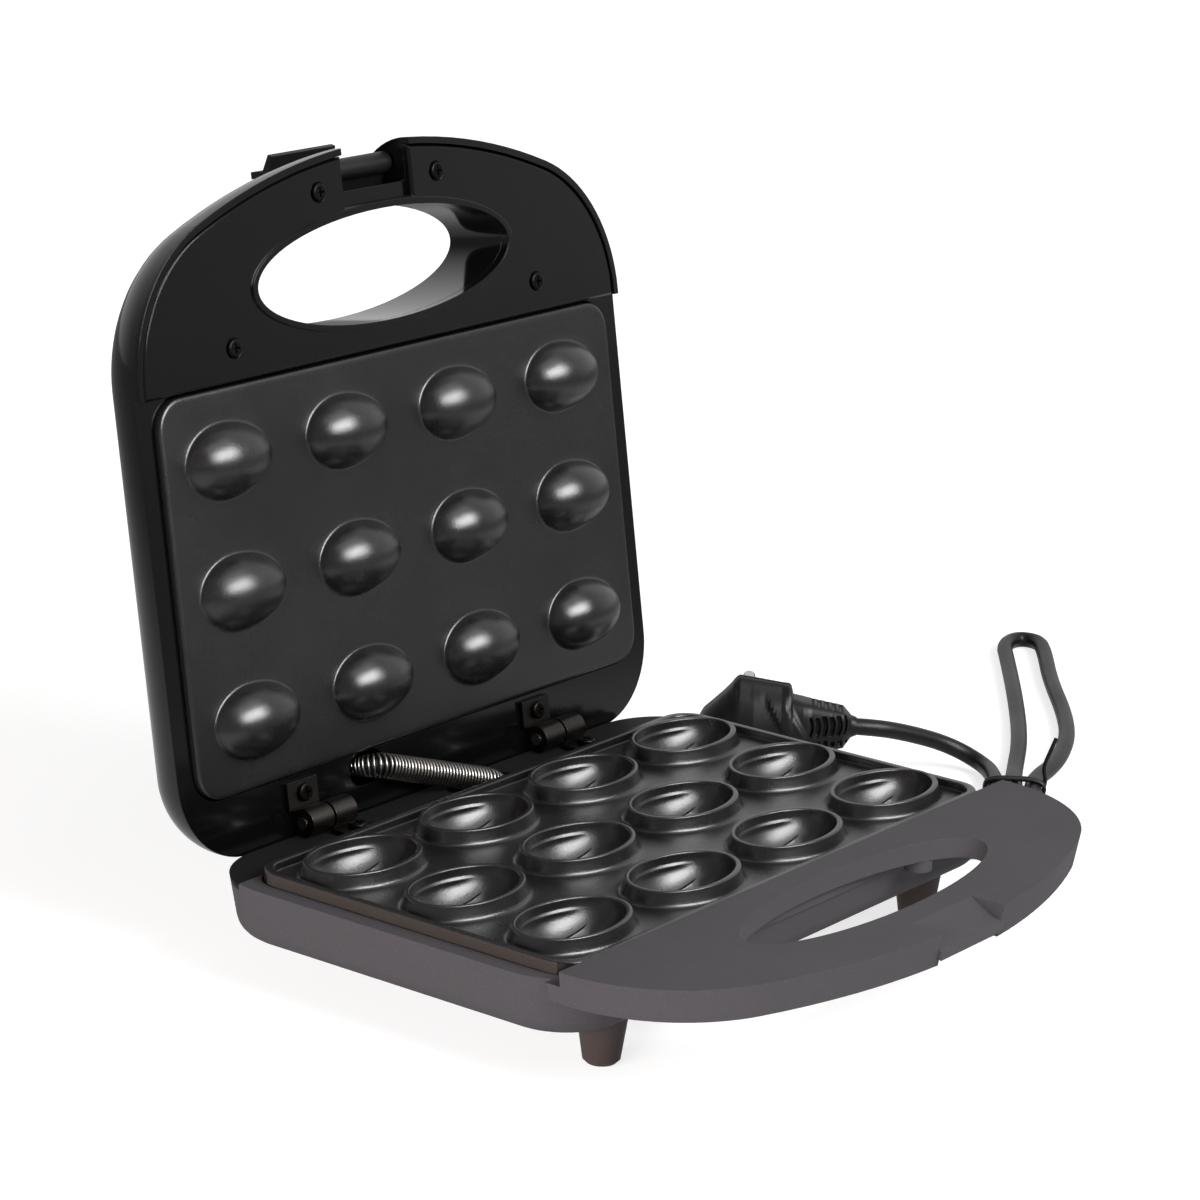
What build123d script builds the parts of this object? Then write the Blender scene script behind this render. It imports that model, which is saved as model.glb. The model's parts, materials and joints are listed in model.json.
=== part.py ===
# Electric maker of nut-shaped cookies, with its lid swung open.
# Millimetres, +Z up, -Y towards the handle. The pieces are drawn with the lid shut
# and the cups' centre on x = 0, y = 0. Then the lid is swung open about its hinge,
# and everything is moved so that the origin lies under the middle of the product.
import os
from math import cos, radians, sin, tan

from build123d import *

# Cups, and the bumps that press the dough into them
cup_pitch_x = 55.0
cup_pitch_y = 41.4
cup_columns = 4
cup_rows = 3
cup_radius = 13.4
cup_length = 41.0
egg_shift = 2.0
bowl_wall = 1.8
cookie_wall = 1.4
nut_sink = 2.2
collar_taper = 15.0

# Hot plates
plate_margin_x = 0.5
plate_margin_y = 1.15
plate_y = -0.5
plate_corner_radius = 10.0
plate_skirt = 8.0
sheet = 2.0
border_drop = 2.3
floor_drop = 5.0
border_width = 3.0
plates_gap = 0.3
plate_clearance = 0.7
heater_radius = 3.25
heater_corner = 9.0
reflector_gap = 2.8
reflector_thickness = 0.6
reflector_rim = 3.0
reflector_margin = 3.0

# Outline seen from above, shared by both housings
side_band = 7.5
handle_depth = 66.4
nose_radius = 230.0
shoulder_radius = 52.0
rear_corner_radius = 28.0
tray_corner_radius = 22.0
wall = 2.2
draft = 10.0

# Heights above the table
foot_height = 16.0
cup_rim_height = 42.0
deck_drop = 1.3
skirt_depth = 10.7
lid_depth = 25.5
rim_step = 0.8

# Hinge
hinge_setback = 15.45
hinge_drop = 2.2
hinge_to_rear = 3.8
lid_overhang = 1.5
knuckle_radius = 4.7
knuckle_length = 10.0
knuckle_pitch = 11.0
hinge_pin_radius = 2.0
leaf_thickness = 1.6
leaf_width = 14.0
leaf_reach = 13.0
hinge_clearance = 0.1
open_angle = 98.7
rest_width = 10.0
rest_depth = 2.4
rest_clearance = 0.25

# Handle opening, notches and latch
bulkhead_gap = 0.85
grip_length = 123.0
grip_width = 36.0
grip_setback = 26.7
grip_collar = 4.5
tray_reach = 6.8
notch_width = 32.6
notch_depth = 12.6
base_lip_setback = 0.8
base_lip_thickness = 3.0
ramp_drop = 5.6
cover_thickness = 2.5
cover_gap = 0.4
grip_lip_width = 2.2
grip_lip_height = 0.7
shelf_setback = 14.6
slot_depth = 18.8
latch_pivot_setback = 8.4
latch_pivot_rise = 10.9
latch_pin_radius = 1.4
barrel_radius = 3.6
latch_width = 31.0
latch_arm_offset = 8.2
latch_sheet = 2.2
latch_hook = 6.0
latch_snap = 0.3
latch_swing = 158.0

# Fasteners, feet and lamps
screw_radius = 1.5
screw_head_radius = 3.0
screw_head_height = 1.8
post_radius = 4.5
foot_top_radius = 8.0
foot_base_radius = 5.8
foot_stub_radius = 2.5
lamp_radius = 3.0
lamp_pitch = 18.0
lamp_setback = 15.75
running_clearance = 0.05

# Wiring conduit, mains cord and plug
conduit_radius = 4.3
conduit_wall = 1.0
lead_radius = 1.1
cord_radius = 3.1
gland_inset = 46.0
gland_rise = 7.0
gland_length = 26.0
gland_radius = 5.2
plug_radius = 18.5
plug_x = 163.0
plug_y = 72.0
plug_turn = -54.5
plug_thickness = 25.0
plug_reach = 38.0
plug_pin_radius = 2.4
plug_pin_pitch = 19.0
plug_pin_length = 19.0
tie_wire = 1.6

# Values that follow from the ones above
plate_length = cup_columns * cup_pitch_x + 2 * plate_margin_x
plate_width = cup_rows * cup_pitch_y + 2 * plate_margin_y
plate_front_y = plate_y - plate_width / 2
plate_rear_y = plate_y + plate_width / 2
collar_length = cup_length + 2 * bowl_wall
collar_width = 2 * (cup_radius + bowl_wall)
nut_radius = cup_radius - cookie_wall
nut_length = cup_length - 2 * cookie_wall
half_width = plate_length / 2 + side_band
bulkhead_y = plate_front_y - bulkhead_gap
handle_reach = handle_depth - bulkhead_y
hinge_x = half_width / 2
hinge_y = plate_rear_y + hinge_setback
hinge_height = cup_rim_height - hinge_drop
rear_reach = hinge_y + hinge_to_rear
lid_reach = rear_reach + lid_overhang
deck_height = cup_rim_height - deck_drop
skirt_height = deck_height - skirt_depth
ledge_gap = knuckle_radius + hinge_clearance
tray_height = hinge_height - ledge_gap
tray_front_y = bulkhead_y - tray_reach
lid_rim_height = hinge_height + ledge_gap
lid_edge_height = cup_rim_height
lid_edge_radius = lid_depth - 1.5
lid_height = lid_edge_height + lid_depth
lid_face_height = cup_rim_height + plates_gap
cover_top = lid_face_height + cover_thickness
floor_height = cup_rim_height - floor_drop
plate_under = floor_height - sheet
plate_top = cup_rim_height - border_drop
plate_bottom = plate_top - plate_skirt
upper_back = lid_face_height + sheet
reflector_height = cup_rim_height - cup_radius - bowl_wall - reflector_gap
upper_reflector_height = upper_back + plate_under - reflector_height
nose_centre_y = nose_radius - handle_reach
nose_corner_y = nose_centre_y - (nose_radius**2 - half_width**2) ** 0.5
leaf_screw_y = hinge_y - leaf_reach + 4.0
grip_y = bulkhead_y - grip_setback
notch_rear_y = notch_depth - handle_reach
base_lip_y = base_lip_setback - handle_reach
shelf_y = shelf_setback - handle_reach
slot_rear_y = slot_depth - handle_reach
cover_notch_y = grip_y - grip_width / 2 - grip_lip_width
latch_pivot_y = latch_pivot_setback - handle_reach
latch_pivot_height = cup_rim_height + latch_pivot_rise
latch_arm_y = latch_pivot_y - latch_arm_offset
latch_grip_height = deck_height - ramp_drop - base_lip_thickness - latch_snap
gland_x = half_width - gland_inset
gland_height = foot_height + gland_rise
hinge_line = Axis((0, hinge_y, hinge_height), (1, 0, 0))
latch_line = Axis((0, latch_pivot_y, latch_pivot_height), (1, 0, 0))
lid_knuckles = [-hinge_x - knuckle_pitch / 2, hinge_x - knuckle_pitch / 2]
base_knuckles = [-hinge_x + knuckle_pitch / 2, hinge_x + knuckle_pitch / 2]
post_x = plate_length / 2 - 9.5
post_spots = [(x, y) for x in (-post_x, post_x) for y in (plate_front_y + 8.75, plate_rear_y - 8.75)]
cover_side_x = half_width - 43.5
cover_side_y = bulkhead_y - 10.4
cover_nose_x = notch_width / 2 + 12.5
cover_nose_y = 13.1 - handle_reach
cover_screw_spots = [
    (-cover_side_x, cover_side_y),
    (-cover_nose_x, cover_nose_y),
    (cover_nose_x, cover_nose_y),
    (cover_side_x, cover_side_y),
]
deck_boss_spots = [(x, bulkhead_y - 11.8) for x in (10.5 - grip_length / 2, grip_length / 2 - 10.5)]
foot_spots = [
    (34 - half_width, plate_front_y + 8.75),
    (half_width - 34, plate_front_y + 8.75),
    (56 - half_width, plate_rear_y - 0.75),
    (half_width - 56, plate_rear_y - 0.75),
]
lamp_y = plate_front_y + lamp_setback
lamp_spots = [(-lamp_pitch / 2, lamp_y), (lamp_pitch / 2, lamp_y)]
clamp_spots = [(-cup_pitch_x, cup_pitch_y / 2), (cup_pitch_x, cup_pitch_y / 2)]

pieces = {}
cord_pieces = {}


def inset_at(height):
    """How far the drafted base wall stands inside the outline at a height."""
    return (deck_height - height) * tan(radians(draft))


def outline(inset, front, rear, reach=rear_reach):
    """The housings' outline, made smaller by the inset, between two values of y."""
    with BuildSketch(mode=Mode.PRIVATE) as plan:
        with BuildLine():
            ThreePointArc((-half_width, nose_corner_y), (0, -handle_reach), (half_width, nose_corner_y))
            Polyline(
                (half_width, nose_corner_y),
                (half_width, reach),
                (-half_width, reach),
                (-half_width, nose_corner_y),
            )
        make_face()
        fillet(plan.vertices().group_by(Axis.Y)[0], shoulder_radius)
        fillet(plan.vertices().group_by(Axis.Y)[-1], rear_corner_radius)
        if inset:
            offset(amount=-inset)
        with Locations((0, (front + rear) / 2)):
            Rectangle(3 * half_width, rear - front, mode=Mode.INTERSECT)
    return plan.sketch


def tray_plan(inset, front, radius):
    """The lower tray's outline, made smaller by the inset, with rounded front corners."""
    with BuildSketch(mode=Mode.PRIVATE) as plan:
        add(outline(inset, front, rear_reach))
        with Locations((0, front + 1.5 * rear_reach)):
            RectangleRounded(2 * (half_width - inset), 3 * rear_reach, radius, mode=Mode.INTERSECT)
    return plan.sketch


def plate_plan(grow):
    """A hot plate's rounded rectangle seen from above, made larger all round by a margin."""
    with BuildSketch(mode=Mode.PRIVATE) as plan:
        with Locations((0, plate_y)):
            RectangleRounded(plate_length + 2 * grow, plate_width + 2 * grow, plate_corner_radius + grow)
    return plan.sketch


def egg(radius, length):
    """Half outline of an egg along X, blunt at -X, closed along its axis."""
    with BuildSketch(mode=Mode.PRIVATE) as profile:
        with BuildLine():
            EllipticalCenterArc((-egg_shift, 0), length / 2 - egg_shift, radius, start_angle=90, arc_size=90)
            EllipticalCenterArc((-egg_shift, 0), length / 2 + egg_shift, radius, start_angle=0, arc_size=90)
            Line((-length / 2, 0), (length / 2, 0))
        make_face()
    return profile.sketch


def nut(radius, length, cut):
    """The part of an egg that lies below a height."""
    with BuildPart() as shell:
        add(egg(radius, length))
        revolve(axis=Axis.X)
        with Locations((0, 0, cut - radius)):
            Box(2 * length, 4 * radius, 2 * radius, mode=Mode.INTERSECT)
    return shell.part


def pan_screw(length):
    """Pan-head screw with a cross recess, pointing down from the seat at z = 0."""
    with BuildPart() as screw:
        with BuildSketch():
            Circle(screw_head_radius)
        extrude(amount=screw_head_height)
        fillet(screw.faces().sort_by(Axis.Z)[-1].edges(), 0.8)
        with BuildSketch(Plane.XY.offset(screw_head_height)):
            Rectangle(3.4, 0.7)
            Rectangle(0.7, 3.4)
        extrude(amount=-1.1, mode=Mode.SUBTRACT)
        with BuildSketch():
            Circle(screw_radius)
        extrude(amount=-length)
    return screw.part


def keep(builder, name, swung=False, flipped=False, is_cord=False):
    """Collects a finished piece. A swung piece rides on the lid and opens with it."""
    piece = builder.part
    if flipped:
        piece = piece.rotate(latch_line, -latch_swing)
    if swung:
        piece = piece.rotate(hinge_line, -open_angle)
    piece.label = name
    (cord_pieces if is_cord else pieces)[name] = piece


# The slanted rear wall carries the cord's sleeve, square to the wall
gland_seat = Plane(
    origin=(gland_x, rear_reach - inset_at(gland_height), gland_height),
    x_dir=(1, 0, 0),
    z_dir=(0, cos(radians(draft)), -sin(radians(draft))),
)
conduit_slot = (11.0, hinge_y - 7.0)
conduit_start = (-32.0, hinge_y - 9.2)


def opened_lid_height(y):
    """Height of the opened lid's underside, which is its rear wall, at a value of y."""
    tilt = radians(open_angle - 90)
    return hinge_height - (lid_reach - hinge_y + (y - hinge_y) * sin(tilt)) / cos(tilt)


# Lower housing: a drafted tray with the handle's deck and skirt in one moulding
with BuildPart() as tray_room:
    room_floor = foot_height + wall
    with BuildSketch(Plane.XY.offset(room_floor)):
        room_front = tray_front_y + wall + (tray_height - room_floor) * tan(radians(draft))
        add(tray_plan(inset_at(room_floor) + wall, room_front, tray_corner_radius - wall))
    extrude(amount=tray_height - wall - room_floor, taper=-draft)
    fillet(tray_room.faces().sort_by(Axis.Z)[0].edges(), 5)
    # a ledge stays round the hot plate
    with BuildSketch(Plane.XY.offset(tray_height - wall)):
        add(plate_plan(plate_clearance))
    extrude(amount=2 * wall)
    with BuildSketch(Plane.XY.offset(foot_height)):
        with Locations(*post_spots):
            Circle(post_radius)
    extrude(amount=reflector_height - foot_height, mode=Mode.SUBTRACT)

with BuildPart() as handle_room:
    with BuildSketch(Plane.XY.offset(foot_height)):
        add(outline(inset_at(foot_height) + wall, -handle_reach, bulkhead_y))
    extrude(amount=deck_height - wall - foot_height, taper=-draft)
    with BuildSketch(Plane.XY.offset(foot_height)):
        with Locations((0, notch_rear_y - handle_reach / 2)):
            Rectangle(notch_width + 2 * wall, handle_reach)
        with Locations(*deck_boss_spots):
            Circle(post_radius)
    extrude(amount=deck_height, mode=Mode.SUBTRACT)
    with BuildSketch(Plane.XY.offset(deck_height - wall - grip_collar)):
        with Locations((0, grip_y)):
            Ellipse(grip_length / 2 + wall, grip_width / 2 + wall)
    extrude(amount=deck_height, mode=Mode.SUBTRACT)
    with BuildSketch(Plane.XY.offset(foot_height)):
        add(outline(0, tray_front_y, 0))
    extrude(amount=deck_height, mode=Mode.SUBTRACT)

with BuildPart() as base_shell:
    tray_front = tray_front_y + (tray_height - foot_height) * tan(radians(draft))
    with BuildSketch(Plane.XY.offset(foot_height)):
        add(tray_plan(inset_at(foot_height), tray_front, tray_corner_radius))
    extrude(amount=tray_height + rim_step - foot_height, taper=-draft)
    fillet(base_shell.faces().sort_by(Axis.Z)[0].edges(), 7)
    with BuildSketch(Plane.XY.offset(skirt_height)):
        add(outline(inset_at(skirt_height), -handle_reach, bulkhead_y + 2 * wall))
    extrude(amount=deck_height - skirt_height, taper=-draft)
    with BuildSketch(Plane.XY.offset(tray_height + rim_step)):
        with Locations((0, bulkhead_y + rear_reach)):
            Rectangle(3 * half_width, 2 * rear_reach)
    extrude(amount=foot_height, mode=Mode.SUBTRACT)
    # the rear ledge, which carries the hinges, lies a step lower
    with BuildSketch(Plane.XY.offset(tray_height)):
        with Locations((0, plate_rear_y + rear_reach / 2)):
            Rectangle(3 * half_width, rear_reach)
    extrude(amount=foot_height, mode=Mode.SUBTRACT)
    add(tray_room.part, mode=Mode.SUBTRACT)
    add(handle_room.part, mode=Mode.SUBTRACT)
    with BuildSketch(Plane.XY.offset(foot_height)):
        with Locations((0, grip_y)):
            Ellipse(grip_length / 2, grip_width / 2)
        with Locations((0, notch_rear_y - handle_reach / 2)):
            Rectangle(notch_width, handle_reach)
    extrude(amount=deck_height, mode=Mode.SUBTRACT)
    # sloping lip in the notch, which the latch hooks under
    with BuildSketch(Plane.YZ):
        with BuildLine():
            Polyline(
                (notch_rear_y + wall, deck_height),
                (notch_rear_y, deck_height),
                (base_lip_y, deck_height - ramp_drop),
                (base_lip_y, deck_height - ramp_drop - base_lip_thickness),
                (notch_rear_y + wall, deck_height - base_lip_thickness),
                close=True,
            )
        make_face()
    extrude(amount=notch_width / 2 + wall / 2, both=True)
    # holes for the plate's screws, the feet, the wiring conduit and the cord's sleeve
    with BuildSketch(Plane.XY.offset(foot_height)):
        with Locations(*post_spots):
            Circle(screw_radius + running_clearance)
        with Locations(*foot_spots):
            Circle(foot_stub_radius)
    extrude(amount=deck_height, mode=Mode.SUBTRACT)
    with BuildSketch(Plane.XY.offset(foot_height)):
        with Locations(*post_spots):
            Circle(screw_head_radius + 0.5)
    extrude(amount=2 * screw_head_height, mode=Mode.SUBTRACT)
    with BuildSketch(Plane.XY.offset(tray_height - 2 * wall)):
        with Locations(conduit_slot):
            SlotOverall(30, 2 * conduit_radius + 2)
        with Locations(*[(x, leaf_screw_y) for x in base_knuckles]):
            Circle(screw_radius)
    extrude(amount=4 * wall, mode=Mode.SUBTRACT)
    with BuildSketch(gland_seat):
        Circle(gland_radius)
    extrude(amount=3 * wall, both=True, mode=Mode.SUBTRACT)
    # rests for the opened lid, behind the hinges
    rest_foot = tray_height - 7
    with BuildSketch(Plane.YZ):
        with BuildLine():
            Polyline(
                (rear_reach - inset_at(rest_foot) - 1, rest_foot),
                (rear_reach - 1, rest_foot),
                (rear_reach + rest_depth, rest_foot + rest_depth + 1),
                (rear_reach + rest_depth, opened_lid_height(rear_reach + rest_depth) - rest_clearance),
                (rear_reach - 2, opened_lid_height(rear_reach - 2) - rest_clearance),
                close=True,
            )
        make_face()
    rest = extrude(amount=rest_width / 2, both=True, mode=Mode.PRIVATE)
    with Locations((-hinge_x, 0, 0), (hinge_x, 0, 0)):
        add(rest)
keep(base_shell, "base_shell")

# Lid housing: a deep moulding with rounded top edges, hollow, with a wall behind the handle
with BuildPart() as lid_room:
    with BuildSketch(Plane.XY.offset(lid_edge_height - wall)):
        add(outline(wall, -handle_reach, lid_reach, lid_reach))
    extrude(amount=lid_depth)
    fillet(lid_room.faces().sort_by(Axis.Z)[-1].edges(), lid_edge_radius - wall)
    with BuildSketch(Plane.XY.offset(cover_top)):
        with Locations((0, bulkhead_y - wall / 2)):
            Rectangle(2 * half_width, wall)
        with Locations((0, grip_y)):
            Ellipse(grip_length / 2 + wall, grip_width / 2 + wall)
        with Locations((0, slot_rear_y + wall - handle_reach / 2)):
            Rectangle(notch_width + 2 * wall, handle_reach)
        with Locations(*cover_screw_spots):
            Circle(post_radius)
    extrude(amount=lid_depth, mode=Mode.SUBTRACT)
    # a ledge stays round the hot plate
    with BuildSketch(Plane.XY.offset(lid_rim_height)):
        with Locations((0, bulkhead_y + lid_reach)):
            Rectangle(2 * half_width, 2 * lid_reach)
        add(plate_plan(plate_clearance), mode=Mode.SUBTRACT)
    extrude(amount=wall, mode=Mode.SUBTRACT)
    with BuildSketch(Plane.XY.offset(upper_reflector_height + reflector_thickness)):
        with Locations(*post_spots):
            Circle(post_radius)
    extrude(amount=lid_depth, mode=Mode.SUBTRACT)

with BuildPart() as lid_shell:
    with BuildSketch(Plane.XY.offset(lid_edge_height)):
        add(outline(0, -handle_reach, lid_reach, lid_reach))
    extrude(amount=lid_depth)
    fillet(lid_shell.faces().sort_by(Axis.Z)[-1].edges(), lid_edge_radius)
    add(lid_room.part, mode=Mode.SUBTRACT)
    with BuildSketch(Plane.XY.offset(lid_edge_height)):
        with Locations((0, bulkhead_y + lid_reach)):
            Rectangle(3 * half_width, 2 * lid_reach)
    extrude(amount=lid_rim_height - lid_edge_height, mode=Mode.SUBTRACT)
    with BuildSketch(Plane.XY.offset(lid_edge_height)):
        with Locations((0, grip_y)):
            Ellipse(grip_length / 2, grip_width / 2)
        with Locations((0, slot_rear_y - handle_reach / 2)):
            Rectangle(notch_width, handle_reach)
        with Locations(*lamp_spots):
            Circle(lamp_radius)
        with Locations(*post_spots):
            Circle(screw_radius + running_clearance)
        with Locations(*[(x, leaf_screw_y) for x in lid_knuckles]):
            Circle(screw_radius)
        with Locations(conduit_start):
            SlotOverall(17, 2 * conduit_radius + 2.2)
    extrude(amount=wall + lid_rim_height - lid_edge_height, mode=Mode.SUBTRACT)
    with BuildSketch(Plane.XY.offset(cover_top)):
        with Locations((0, grip_y)):
            Ellipse(grip_length / 2, grip_width / 2)
        with Locations((0, slot_rear_y - handle_reach / 2)):
            Rectangle(notch_width, handle_reach)
        with Locations(*lamp_spots):
            Circle(lamp_radius)
        with Locations(*post_spots):
            Circle(screw_radius + running_clearance)
    extrude(amount=lid_depth, mode=Mode.SUBTRACT)
    with BuildSketch(Plane.XY.offset(lid_height - 2 * screw_head_height - 1)):
        with Locations(*post_spots):
            Circle(screw_head_radius + 0.5)
    extrude(amount=lid_depth, mode=Mode.SUBTRACT)
    with BuildSketch(Plane.XY.offset(cover_top)):
        with Locations(*cover_screw_spots):
            Circle(screw_radius)
    extrude(amount=8, mode=Mode.SUBTRACT)
    with BuildSketch(Plane.YZ):
        with Locations((latch_pivot_y, latch_pivot_height)):
            Circle(latch_pin_radius)
    extrude(amount=notch_width, both=True, mode=Mode.SUBTRACT)
    # a shelf closes the slot up to the barrel
    with BuildSketch(Plane.XY.offset(cover_top)):
        with Locations((0, (shelf_y + slot_rear_y) / 2)):
            Rectangle(notch_width, slot_rear_y - shelf_y)
    extrude(amount=wall)
keep(lid_shell, "lid_shell", swung=True)

# Cover set into the underside of the lid's handle
with BuildPart() as lid_handle_cover:
    with BuildSketch(Plane.XY.offset(lid_face_height)):
        add(outline(wall + cover_gap, -handle_reach, bulkhead_y))
        with Locations((0, cover_notch_y - handle_reach / 2)):
            Rectangle(notch_width, handle_reach, mode=Mode.SUBTRACT)
    extrude(amount=cover_thickness)
    chamfer(lid_handle_cover.faces().sort_by(Axis.Z)[0].edges(), 0.8)
    with BuildSketch(Plane.XY.offset(lid_face_height - grip_lip_height)):
        with Locations((0, grip_y)):
            Ellipse(grip_length / 2 + grip_lip_width, grip_width / 2 + grip_lip_width)
    extrude(amount=cover_thickness)
    with BuildSketch(Plane.XY.offset(lid_face_height - grip_lip_height)):
        with Locations((0, grip_y)):
            Ellipse(grip_length / 2, grip_width / 2)
        with Locations(*cover_screw_spots):
            Circle(screw_radius + running_clearance)
    extrude(amount=2 * cover_thickness, mode=Mode.SUBTRACT)
    with BuildSketch(Plane.XY.offset(lid_face_height)):
        with Locations(*cover_screw_spots):
            Circle(screw_head_radius + 0.3)
    extrude(amount=0.8, mode=Mode.SUBTRACT)
keep(lid_handle_cover, "lid_handle_cover", swung=True)

short_screw = pan_screw(8)
with BuildPart() as lid_cover_screws:
    with Locations(*[Location((x, y, lid_face_height + 0.8), (180, 0, 0)) for x, y in cover_screw_spots]):
        add(short_screw)
keep(lid_cover_screws, "lid_cover_screws", swung=True)

cup_bowl = nut(cup_radius + bowl_wall, cup_length + 2 * bowl_wall, 0)
cup_room = nut(cup_radius, cup_length, 0.01)
bump = nut(nut_radius, nut_length, sheet - nut_sink)
bump_room = nut(nut_radius - bowl_wall, nut_length - 2 * bowl_wall, sheet)

# Lower hot plate: raised border, floor, and rings that carry the egg-shaped cups
with BuildPart() as lower_plate:
    with BuildSketch(Plane.XY.offset(plate_bottom)):
        add(plate_plan(0))
    extrude(amount=plate_skirt)
    chamfer(lower_plate.faces().sort_by(Axis.Z)[-1].edges(), 0.5)
    with BuildSketch(Plane.XY.offset(plate_bottom)):
        add(plate_plan(-sheet))
    extrude(amount=plate_under - plate_bottom, mode=Mode.SUBTRACT)
    with BuildSketch(Plane.XY.offset(floor_height)):
        add(plate_plan(-border_width))
    extrude(amount=floor_drop, mode=Mode.SUBTRACT)
    with BuildSketch(Plane.XY.offset(cup_rim_height)):
        with GridLocations(cup_pitch_x, cup_pitch_y, cup_columns, cup_rows):
            Ellipse(collar_length / 2, collar_width / 2)
    extrude(amount=plate_under - cup_rim_height, taper=-collar_taper)
    with Locations((0, 0, cup_rim_height)):
        with GridLocations(cup_pitch_x, cup_pitch_y, cup_columns, cup_rows):
            add(cup_bowl)
            add(cup_room, mode=Mode.SUBTRACT)
    with BuildSketch(Plane.XY.offset(reflector_height + reflector_thickness)):
        with Locations(*post_spots):
            Circle(post_radius)
    extrude(amount=plate_under - reflector_height - reflector_thickness)
    with BuildSketch(Plane.XY.offset(reflector_height)):
        with Locations(*post_spots):
            Circle(screw_radius)
    extrude(amount=plate_under - reflector_height, mode=Mode.SUBTRACT)
keep(lower_plate, "lower_plate")

# Upper hot plate: a flat face with egg-shaped bumps, hollow behind
with BuildPart() as upper_plate:
    with BuildSketch(Plane.XY.offset(lid_face_height)):
        add(plate_plan(0))
    extrude(amount=plate_skirt)
    chamfer(upper_plate.faces().sort_by(Axis.Z)[0].edges(), 0.6)
    with BuildSketch(Plane.XY.offset(upper_back)):
        add(plate_plan(-sheet))
    extrude(amount=plate_skirt, mode=Mode.SUBTRACT)
    with Locations((0, 0, lid_face_height + nut_sink)):
        with GridLocations(cup_pitch_x, cup_pitch_y, cup_columns, cup_rows):
            add(bump)
            add(bump_room, mode=Mode.SUBTRACT)
    with BuildSketch(Plane.XY.offset(upper_back)):
        with Locations(*post_spots):
            Circle(post_radius)
    extrude(amount=upper_reflector_height - upper_back)
    with BuildSketch(Plane.XY.offset(upper_back)):
        with Locations(*post_spots):
            Circle(screw_radius)
    extrude(amount=upper_reflector_height, mode=Mode.SUBTRACT)
keep(upper_plate, "upper_plate", swung=True)


def heater(height):
    """Tubular element bent in a U between the cups, with a contact stud at each end."""
    rear = plate_rear_y - 6
    with BuildPart() as tube:
        with BuildLine() as run:
            FilletPolyline(
                (-cup_pitch_x, rear, height),
                (-cup_pitch_x, -cup_pitch_y / 2, height),
                (cup_pitch_x, -cup_pitch_y / 2, height),
                (cup_pitch_x, rear, height),
                radius=heater_corner,
            )
        with BuildSketch(Plane(origin=run.line @ 0, z_dir=run.line % 0)):
            Circle(heater_radius)
        sweep()
        with BuildSketch(Plane.XZ.offset(-rear)):
            with Locations((-cup_pitch_x, height), (cup_pitch_x, height)):
                Circle(heater_radius / 2)
        extrude(amount=-2.5)
    return tube.part


def heater_clamps(face, side):
    """Straps that hold the element against a plate's back; side is -1 when it hangs below."""
    depth = 2 * heater_radius + leaf_thickness
    with BuildPart() as straps:
        with BuildSketch(Plane.XY.offset(face)):
            with Locations(*clamp_spots):
                Rectangle(2 * heater_radius + 7, 6)
            with Locations((0, -cup_pitch_y / 2)):
                Rectangle(6, 2 * heater_radius + 2.6)
        extrude(amount=side * depth)
        with BuildSketch(Plane.XY.offset(face)):
            with Locations(*clamp_spots):
                Rectangle(2 * heater_radius, 6)
            with Locations((0, -cup_pitch_y / 2)):
                Rectangle(6, 2 * heater_radius)
        extrude(amount=side * 2 * heater_radius, mode=Mode.SUBTRACT)
    return straps.part


def reflector(height, side):
    """Thin tray that keeps the heat off the housing; its rim is turned up, or down for side -1."""
    back = height if side > 0 else height + reflector_thickness
    with BuildPart() as shield:
        with BuildSketch(Plane.XY.offset(back)):
            add(plate_plan(-reflector_margin))
        extrude(amount=side * reflector_rim)
        with BuildSketch(Plane.XY.offset(back + side * reflector_thickness)):
            add(plate_plan(-reflector_margin - reflector_thickness))
        extrude(amount=side * reflector_rim, mode=Mode.SUBTRACT)
        with BuildSketch(Plane.XY.offset(height)):
            with Locations(*post_spots):
                Circle(screw_radius + running_clearance)
        extrude(amount=reflector_thickness, mode=Mode.SUBTRACT)
    return shield.part


lower_tube = heater(plate_under - heater_radius)
with BuildPart() as lower_heater:
    add(lower_tube)
keep(lower_heater, "lower_heater")

upper_tube = heater(upper_back + heater_radius)
with BuildPart() as upper_heater:
    add(upper_tube)
keep(upper_heater, "upper_heater", swung=True)

lower_straps = heater_clamps(plate_under, -1)
with BuildPart() as lower_heater_clamps:
    add(lower_straps)
keep(lower_heater_clamps, "lower_heater_clamps")

upper_straps = heater_clamps(upper_back, 1)
with BuildPart() as upper_heater_clamps:
    add(upper_straps)
keep(upper_heater_clamps, "upper_heater_clamps", swung=True)

lower_shield = reflector(reflector_height, 1)
with BuildPart() as lower_reflector:
    add(lower_shield)
keep(lower_reflector, "lower_reflector")

upper_shield = reflector(upper_reflector_height, -1)
with BuildPart() as upper_reflector:
    add(upper_shield)
keep(upper_reflector, "upper_reflector", swung=True)

seat = foot_height + 2 * screw_head_height
long_screw = pan_screw(plate_under - 2 - seat)
with BuildPart() as lower_plate_screws:
    with Locations(*[Location((x, y, seat), (180, 0, 0)) for x, y in post_spots]):
        add(long_screw)
keep(lower_plate_screws, "lower_plate_screws")

seat = lid_height - 2 * screw_head_height - 1
upper_screw = pan_screw(seat - upper_back - 2)
with BuildPart() as upper_plate_screws:
    with Locations(*[(x, y, seat) for x, y in post_spots]):
        add(upper_screw)
keep(upper_plate_screws, "upper_plate_screws", swung=True)

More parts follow.
